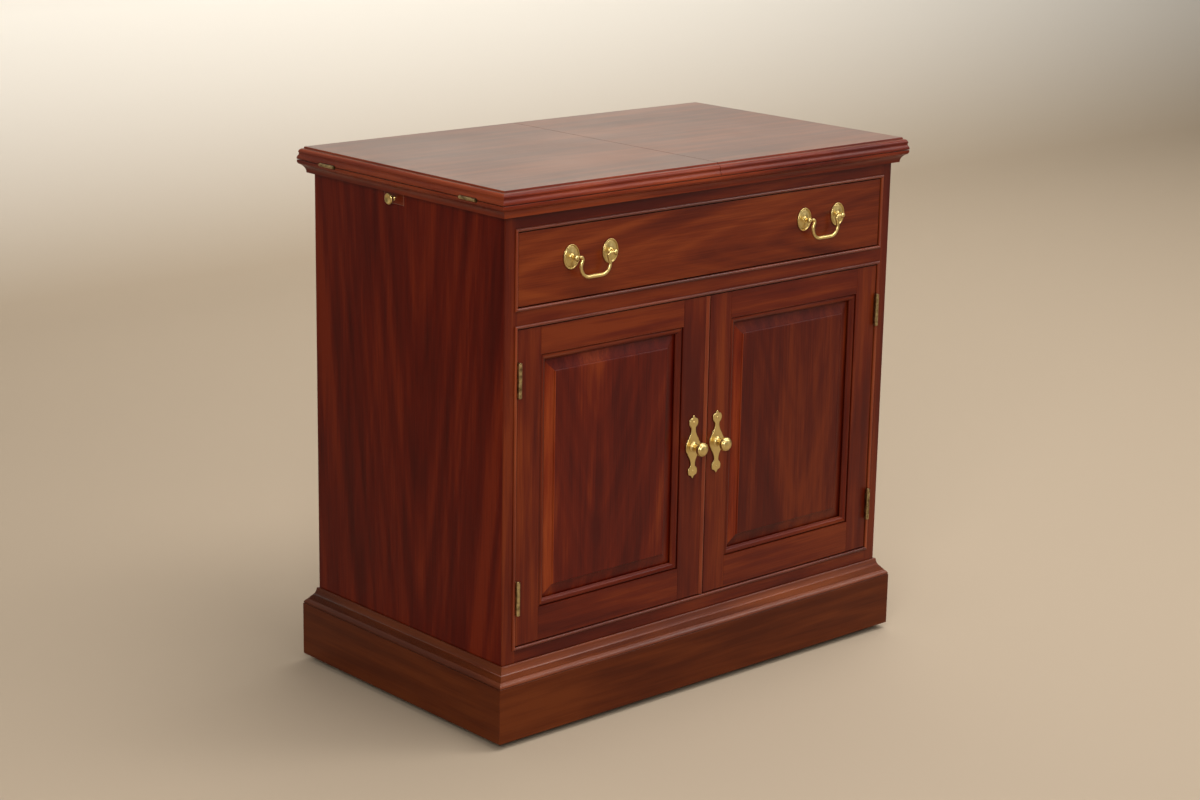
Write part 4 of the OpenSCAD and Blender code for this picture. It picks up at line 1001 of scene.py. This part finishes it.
# Doors
# Frame and panel: stiles full height, rails between them, a moulded edge mitred round a
# raised and bevelled panel that floats in its groove.
DOOR_COLOURS = ((0.055, 0.0035, 0.001), (0.092, 0.0085, 0.0015), (0.145, 0.021, 0.003))
# Lighter colours for the raised panels' left-leaning bevels: painted light, as from a lamp on the left.
BEVEL_LIT_COLOURS = ((0.085, 0.006, 0.0014), (0.15, 0.0165, 0.003), (0.22, 0.036, 0.007))
PANEL_COLOURS = {
    -1: ((0.048, 0.0018, 0.0005), (0.09, 0.006, 0.001), (0.17, 0.024, 0.003)),
    1: ((0.036, 0.0014, 0.0004), (0.064, 0.0042, 0.0008), (0.12, 0.015, 0.002)),
}
BEVEL_LIT_LEAN = 0.1
TIPS_OUTWARD = 25 * MM
DOOR_EDGE_X = MOVING_PLATE_X[1]
STILE_EASE = 0.7 * MM
RAIL_EASE = 0.5 * MM
BACKING_EASE = 0.3 * MM
PANEL_IN = 4.5 * MM
STICK_NEAR = 52.5 * MM
STICK_FAR = 350.5 * MM
STRIP_W = 9 * MM
STRIP_DEEP = 4 * MM
STICK_EDGE = mm(
    [(0, -20), (0, 0), (-0.2, 0), (-1.1, -0.1), (-1.3, -0.9)]
    + [(-6.41 + 5.626 * out, -5.9 + 5 * up) for out, up in arc(0, 0, 1, 28, 78, 5)]
    + [(-7.8, -1.9), (-9.8, -3.4), (-11, -5.4), (-12, -6.4), (-12, -8)]
    + [(-4, -8), (-4, -14), (-12, -14), (-12, -20)]
)
PANEL_EDGE = mm(
    [(-4.5, -13.7), (-4.5, -10.7), (-12, -10.6), (-31.3, -5.2)] + arc(-32.8, -4.4, 1.4, 0, 90, 6)
)
for side, hand in HANDS:
    body = "door_" + hand
    low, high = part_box(body + "_stiles")
    panel_low, panel_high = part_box(body + "_panel")
    stick_x = side * (STICK_FAR + STICK_NEAR) / 2
    stick_w = STICK_FAR - STICK_NEAR
    stick_low = panel_low.z - PANEL_IN
    stick_high = panel_high.z + PANEL_IN
    stick_h = stick_high - stick_low
    stick_place = (stick_x, front_y, (stick_low + stick_high) / 2)
    stile_wood = mahogany(body + "_stile_wood", "Z", DOOR_COLOURS, 4.1 + side)
    rail_wood = mahogany(body + "_rail_wood", "X", DOOR_COLOURS, 7.7 + side)
    panel_wood = mahogany(body + "_panel_wood", "Z", PANEL_COLOURS[side], 3.5 + 2 * side,
                          across="X", centre=stick_x + TIPS_OUTWARD * side, steep=3.2)
    bevel_painted_lit = mahogany(body + "_bevel_painted_lit", "Z", BEVEL_LIT_COLOURS, 9.5 + side)
    meeting = high.x - STRIP_W if side < 0 else low.x
    stile_parts = [
        board("stile", (side * STICK_NEAR, *low.yz), (meeting, *high.yz), STILE_EASE),
        board("stile", (side * STICK_FAR, *low.yz), (side * DOOR_EDGE_X, *high.yz), STILE_EASE),
    ]
    if side < 0:
        stile_parts.append(board("backing", (meeting, front_y + STRIP_DEEP, low.z), high, BACKING_EASE))
    stiles = one_piece(body + "_stile_boards", *stile_parts)
    for z in hinge_heights:
        x_far = side * (DOOR_EDGE_X + RECESS_PLAY)
        cut_away(stiles, hinge_recess(side * MOVING_PLATE_X[0], x_far, z))
    smooth(stiles)
    dress(stiles, body, "frame_wood", stile_wood)
    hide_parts(body + "_stiles")
    rails = one_piece(
        body + "_rail_boards",
        board("rail", (side * STICK_NEAR, *low.yz), (side * STICK_FAR, high.y, stick_low), RAIL_EASE),
        board("rail", (side * STICK_NEAR, low.y, stick_high), (side * STICK_FAR, *high.yz), RAIL_EASE),
    )
    dress(rails, body, "frame_wood", rail_wood)
    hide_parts(body + "_rails")
    sticking = moulding(body + "_moulded_edge", stick_w, stick_h, STICK_EDGE)
    close_ring()
    move_to(sticking, stick_place, ALONG_Y)
    sides_by_corner(sticking, stick_x, stick_w / 2, (stick_low, stick_high))
    smooth(sticking, 40)
    dress(sticking, body, "frame_wood", rail_wood, stile_wood)
    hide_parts(body + "_stiles", body + "_rails")
    raised = moulding(body + "_raised_panel", stick_w, stick_h, PANEL_EDGE)
    close_slab(PANEL_EDGE[0][1])
    move_to(raised, stick_place, ALONG_Y)
    # Painted light: faces of the panel that lean to the left take the lighter bevel colours.
    mark(raised, lambda m, n: max(n.x, n.y) < -BEVEL_LIT_LEAN)
    smooth(raised, 20)
    dress(raised, body, "panel_wood", panel_wood, bevel_painted_lit)
    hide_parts(body + "_panel")

# Astragal
# A half-round strip let into the left door's meeting edge. It covers the gap between the doors.
STRIP_OUT = 2.2 * MM
strip_low, strip_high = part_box("door_astragal")
strip_middle = (strip_low + strip_high) / 2
strip_r = (STRIP_W ** 2 / 4 + STRIP_OUT ** 2) / (2 * STRIP_OUT)
strip = round_bar(96, strip_r, strip_high.z - strip_low.z)
move_to(strip, (strip_middle.x, front_y + strip_r - STRIP_OUT, strip_middle.z))
for place, away in (((0, front_y, 0), (0, 1, 0)), (strip_high, (1, 0, 0)), (strip_low, (-1, 0, 0))):
    open_mesh()
    bpy.ops.mesh.bisect(plane_co=place, plane_no=away, use_fill=True, clear_outer=True)
    close_mesh()
strip_back = board("back", (strip_low.x, front_y, strip_low.z), strip_high)
strip = one_piece("astragal_strip", strip, strip_back)
smooth(strip, 40)
# The astragal takes the upright beads' lighter colours, which are painted light.
dress(strip, "door_left", "frame_wood", bead_lit_z)
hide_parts("door_astragal")

# Door hinges
# Antique brass butts, two to a door, with five knuckles and small steeple tips. Their plates
# are let into the bead and the door's edge.
DOOR_BARREL_R = 3.3 * MM
DOOR_PIN_R = 1.5 * MM
DOOR_SCREW_R = 2.3 * MM
DOOR_SCREW_SUNK = 0.2 * MM
DOOR_SCREW_ROW = 18 * MM
DOOR_SCREW_IN = {-1: 10.5 * MM, 0: 6.5 * MM, 1: 10.5 * MM}
MOVING_KNUCKLES = (1, 3)
TIP = mm([(2.3, 0), (2.3, 0.5), (1.9, 0.85), (1.3, 0.95), (0.4, 1)])
axis_x = 396.1 * MM
axis_y = front_y - 5.2 * MM
door_knuckle = DOOR_HINGE_L / 5
fixed_parts = []
for side, hand in HANDS:
    moving_parts = []
    for z in hinge_heights:
        for i in range(5):
            moves = i in MOVING_KNUCKLES
            parts, web_x = (moving_parts, MOVING_PLATE_X) if moves else (fixed_parts, FIXED_PLATE_X)
            length = door_knuckle - KNUCKLE_GAP if moves else door_knuckle
            middle = z + (i - 2) * door_knuckle
            parts.append(barrel(DOOR_BARREL_R, length, (side * axis_x, axis_y, middle), ALONG_Z))
            parts.append(board("web", (side * web_x[0], axis_y, middle - length / 2),
                               (side * web_x[1], front_y, middle + length / 2)))
        fixed_parts.append(barrel(DOOR_PIN_R, DOOR_HINGE_L, (side * axis_x, axis_y, z), ALONG_Z))
        for end, turn in ((1, ALONG_Z), (-1, (math.pi, 0, 0))):
            place = (side * axis_x, axis_y, z + end * DOOR_HINGE_L / 2)
            fixed_parts.append(turned("tip", TIP, place, turn, 24))
        for parts, plate_x, face_x, lean in (
            (fixed_parts, FIXED_PLATE_X, FIXED_PLATE_X[0] + DOOR_SCREW_SUNK, -side * math.pi / 2),
            (moving_parts, MOVING_PLATE_X, MOVING_PLATE_X[1] - DOOR_SCREW_SUNK, side * math.pi / 2),
        ):
            parts.append(board("plate", (side * plate_x[0], front_y, z - DOOR_HINGE_L / 2),
                               (side * plate_x[1], front_y + DOOR_PLATE_DEEP, z + DOOR_HINGE_L / 2)))
            for row, inward in DOOR_SCREW_IN.items():
                place = (side * face_x, front_y + inward, z + row * DOOR_SCREW_ROW)
                parts.append(countersunk(place, (0, lean, 0), DOOR_SCREW_R))
    moving = one_piece("door_%s_hinges_brass" % hand, *moving_parts)
    dress(moving, "door_" + hand, "aged_brass", aged_brass)
    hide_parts("door_%s_hinges" % hand)
door_butts = one_piece("door_hinges_fixed_brass", *fixed_parts)
dress(door_butts, "cabinet", "aged_brass", aged_brass)
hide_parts("door_hinges_fixed")

# Door knobs
# Domed brass knobs on turned stems, each on a wavy cast plate with pointed ends, fixed with
# two round-headed nails.
KNOB_PLATE_T = 2.2 * MM
PLATE_ROUND = 0.9 * MM
BELLY_R = 16
NAIL_UP = 41.05
upper_line = (
    [(0, 52.75), (0.9, 52.2), (1.6, 51.0), (2.6, 49.2), (4.4, 47.9), (6.4, 47.2)]
    + arc(0, NAIL_UP, 9.75, 36, -48, 7)
    + [(4.9, 32.6), (4.5, 29.0), (4.9, 25.5), (6.2, 21.5), (8.2, 17.6), (10.2, 14.4), (11.3, 13.2)]
    + arc(0, 0, BELLY_R, 42, 34, 1) + arc(0, 0, BELLY_R, 25, 16, 1) + arc(0, 0, BELLY_R, 8, 0, 1)
)
right_edge = upper_line + [(x, -z) for x, z in reversed(upper_line[:-1])]
plate_outline = right_edge + [(-x, z) for x, z in reversed(right_edge[1:-1])]
KNOB_FACE = mm(
    [(8.6, 2.2), (8.6, 3), (7.8, 3.6), (6.6, 4.1), (5.6, 5.4), (5.1, 7.6), (4.9, 11), (5.1, 14)]
    + [(6.2, 16), (8.6, 17.4), (10.6, 18.6), (11.4, 20), (11.5, 22), (11.4, 23.8), (10.9, 25.2)]
    + [(10, 26), (9.3, 26.2), (8.9, 26.5), (8.7, 27.1), (7.6, 28.1), (5.4, 29), (2.8, 29.4)]
    + [(0.8, 29.5)]
)
NAIL_FACE = mm([(1.9, 2), (1.9, 2.3), (1.7, 2.7), (1.2, 2.95), (0.4, 3.1)])
for side, hand in HANDS:
    plate_low, plate_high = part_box("door_%s_knob_plate" % hand)
    x, _, z = (plate_low + plate_high) / 2
    points = [(out, up, 0, 1) for out, up in mm(plate_outline)]
    plate = drawn("knob_plate", points, True, dimensions="2D", fill_mode="BOTH",
                  extrude=KNOB_PLATE_T / 2 - PLATE_ROUND, offset=-PLATE_ROUND,
                  bevel_depth=PLATE_ROUND, bevel_resolution=4)
    move_to(plate, (x, front_y - KNOB_PLATE_T / 2, z), ALONG_Y)
    nails = [turned("nail", NAIL_FACE, (x, front_y, z + end * NAIL_UP * MM), ALONG_Y, 24)
             for end in (-1, 1)]
    plate = one_piece("door_%s_plate_brass" % hand, plate, *nails)
    smooth(plate, 40)
    dress(plate, "door_" + hand, "bright_brass", bright_brass)
    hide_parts("door_%s_knob_plate" % hand)
    knob = turned("door_%s_knob_brass" % hand, KNOB_FACE, (x, front_y, z), ALONG_Y)
    dress(knob, "door_" + hand, "bright_brass", bright_brass)
    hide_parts("door_%s_knob" % hand)

# Plinth
# Four mitred boards round the foot of the case, with a mitred moulding on top: an ovolo, a
# quirk, a run of fine reeds, a cove and a small ledge against the case.
PLINTH_COLOURS = ((0.057, 0.0085, 0.0013), (0.084, 0.0145, 0.0022), (0.112, 0.022, 0.0037))
# Lighter, more salmon colours for the cap moulding along the front and back: painted light, as from a
# lamp overhead.
CAP_LIT_COLOURS = ((0.07, 0.009, 0.0015), (0.12, 0.022, 0.004), (0.18, 0.04, 0.009))
PLINTH_T = 20 * MM
REEDS = (
    [(13.0, 9.5), (13.0, 10.5), (11.9, 10.8), (11.8, 11.9), (10.7, 12.2), (10.6, 13.3)]
    + [(9.5, 13.6), (9.4, 14.7), (8.3, 15.0), (8.2, 15.8), (7.2, 16.3)]
)
CAP_EDGE = mm(
    [(0, 0), (18.6, 0), (18.6, 0.8), (19.4, 1.1), (19.3, 2.4), (18.4, 4.2), (17.2, 5.6)]
    + [(15.9, 6.9), (14.4, 7.9), (13.9, 8.5), (13.9, 9.3)] + REEDS
    + [(6.1, 18.2), (5.2, 19.9), (4.5, 22), (4, 23.9), (3.7, 25.9), (3.3, 27.6), (2.4, 28.5), (0, 28.5)]
)
plinth_x = mahogany("plinth_wood_x", "X", PLINTH_COLOURS, 1.9, gloss=0.14)
plinth_y = mahogany("plinth_wood_y", "Y", PLINTH_COLOURS, 6.9, gloss=0.12)
# Painted light: the cap along the front and back takes the lighter cap colours, and the cap along the
# sides the plinth's own.
cap_lit_x = mahogany("plinth_cap_x", "X", CAP_LIT_COLOURS, 2.7, gloss=0.35)
cap_y = mahogany("plinth_cap_y", "Y", PLINTH_COLOURS, 9.1)
plinth_low, plinth_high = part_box("plinth_boards")
plinth_middle = (plinth_low + plinth_high) / 2
plinth_wide, plinth_deep, plinth_tall = plinth_high - plinth_low
case_wide = plinth_wide - 2 * PLINTH_T
case_deep = plinth_deep - 2 * PLINTH_T
BOARD_EDGE = (
    mm([(0, 0), (19, 0), (19.7, 0.3), (20, 1)])
    + mm([(20, -0.4), (19.6, 0), (0, 0)], plinth_tall)
)
for name, base_z, edge, woods in (("plinth_boards", plinth_low.z, BOARD_EDGE, (plinth_x, plinth_y)),
                                  ("plinth_cap", plinth_high.z, CAP_EDGE, (cap_lit_x, cap_y))):
    ring = moulding(name + "_wood", case_wide, case_deep, edge)
    close_ring()
    move_to(ring, (*plinth_middle.xy, base_z))
    mark(ring, lambda m, n: (abs(m.x - plinth_middle.x) - case_wide / 2
                             >= abs(m.y - plinth_middle.y) - case_deep / 2))
    smooth(ring, 40)
    dress(ring, "cabinet", "plinth_wood", *woods)
    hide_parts(name)

# Secondary wood
# What shows only inside: the dust frame, guides, corner blocks and the drawer's box, in pale
# maple with a thin clear coat.
MAPLE_COLOURS = ((0.3, 0.17, 0.075), (0.42, 0.26, 0.12), (0.52, 0.35, 0.18))
maple_x = mahogany("maple_along_x", "X", MAPLE_COLOURS, 2.2, rough=0.5)
maple_y = mahogany("maple_along_y", "Y", MAPLE_COLOURS, 5.1, rough=0.5)
finish_as_built(maple_x, "dust_frame", "loper_guides", "drawer_back", "drawer_bottom")
finish_as_built(maple_y, "drawer_guides", "drawer_sides", "corner_blocks")

# Shelf pins and catches
# Brass pegs with a collar hold the shelf, and brass bullet catches in the middle rail hold the
# doors shut.
finish_as_built(aged_brass, "shelf_pins", "door_catches")

# Casters
# Four small swivel casters screwed to the corner blocks behind the plinth: pressed steel
# forks, zinc plated, and hard black wheels.
zinc = metal("zinc_plate", (0.55, 0.56, 0.57), 0.34, 0.08, dented=0.1)
wheel_black, tree, shader, place = new_material("wheel_black")
grit = noise(tree, place, 300, 2)
wheel_tone = ramp(tree, grit, (0, (0.014, 0.014, 0.015)), (1, (0.028, 0.028, 0.03)))
tree.links.new(wheel_tone, shader.inputs["Base Color"])
shader.inputs["Roughness"].default_value = 0.55
finish_as_built(zinc, "caster_plates")
for corner in ("front_left", "front_right", "back_left", "back_right"):
    finish_as_built(zinc, "caster_fork_" + corner)
    finish_as_built(wheel_black, "caster_wheel_" + corner)
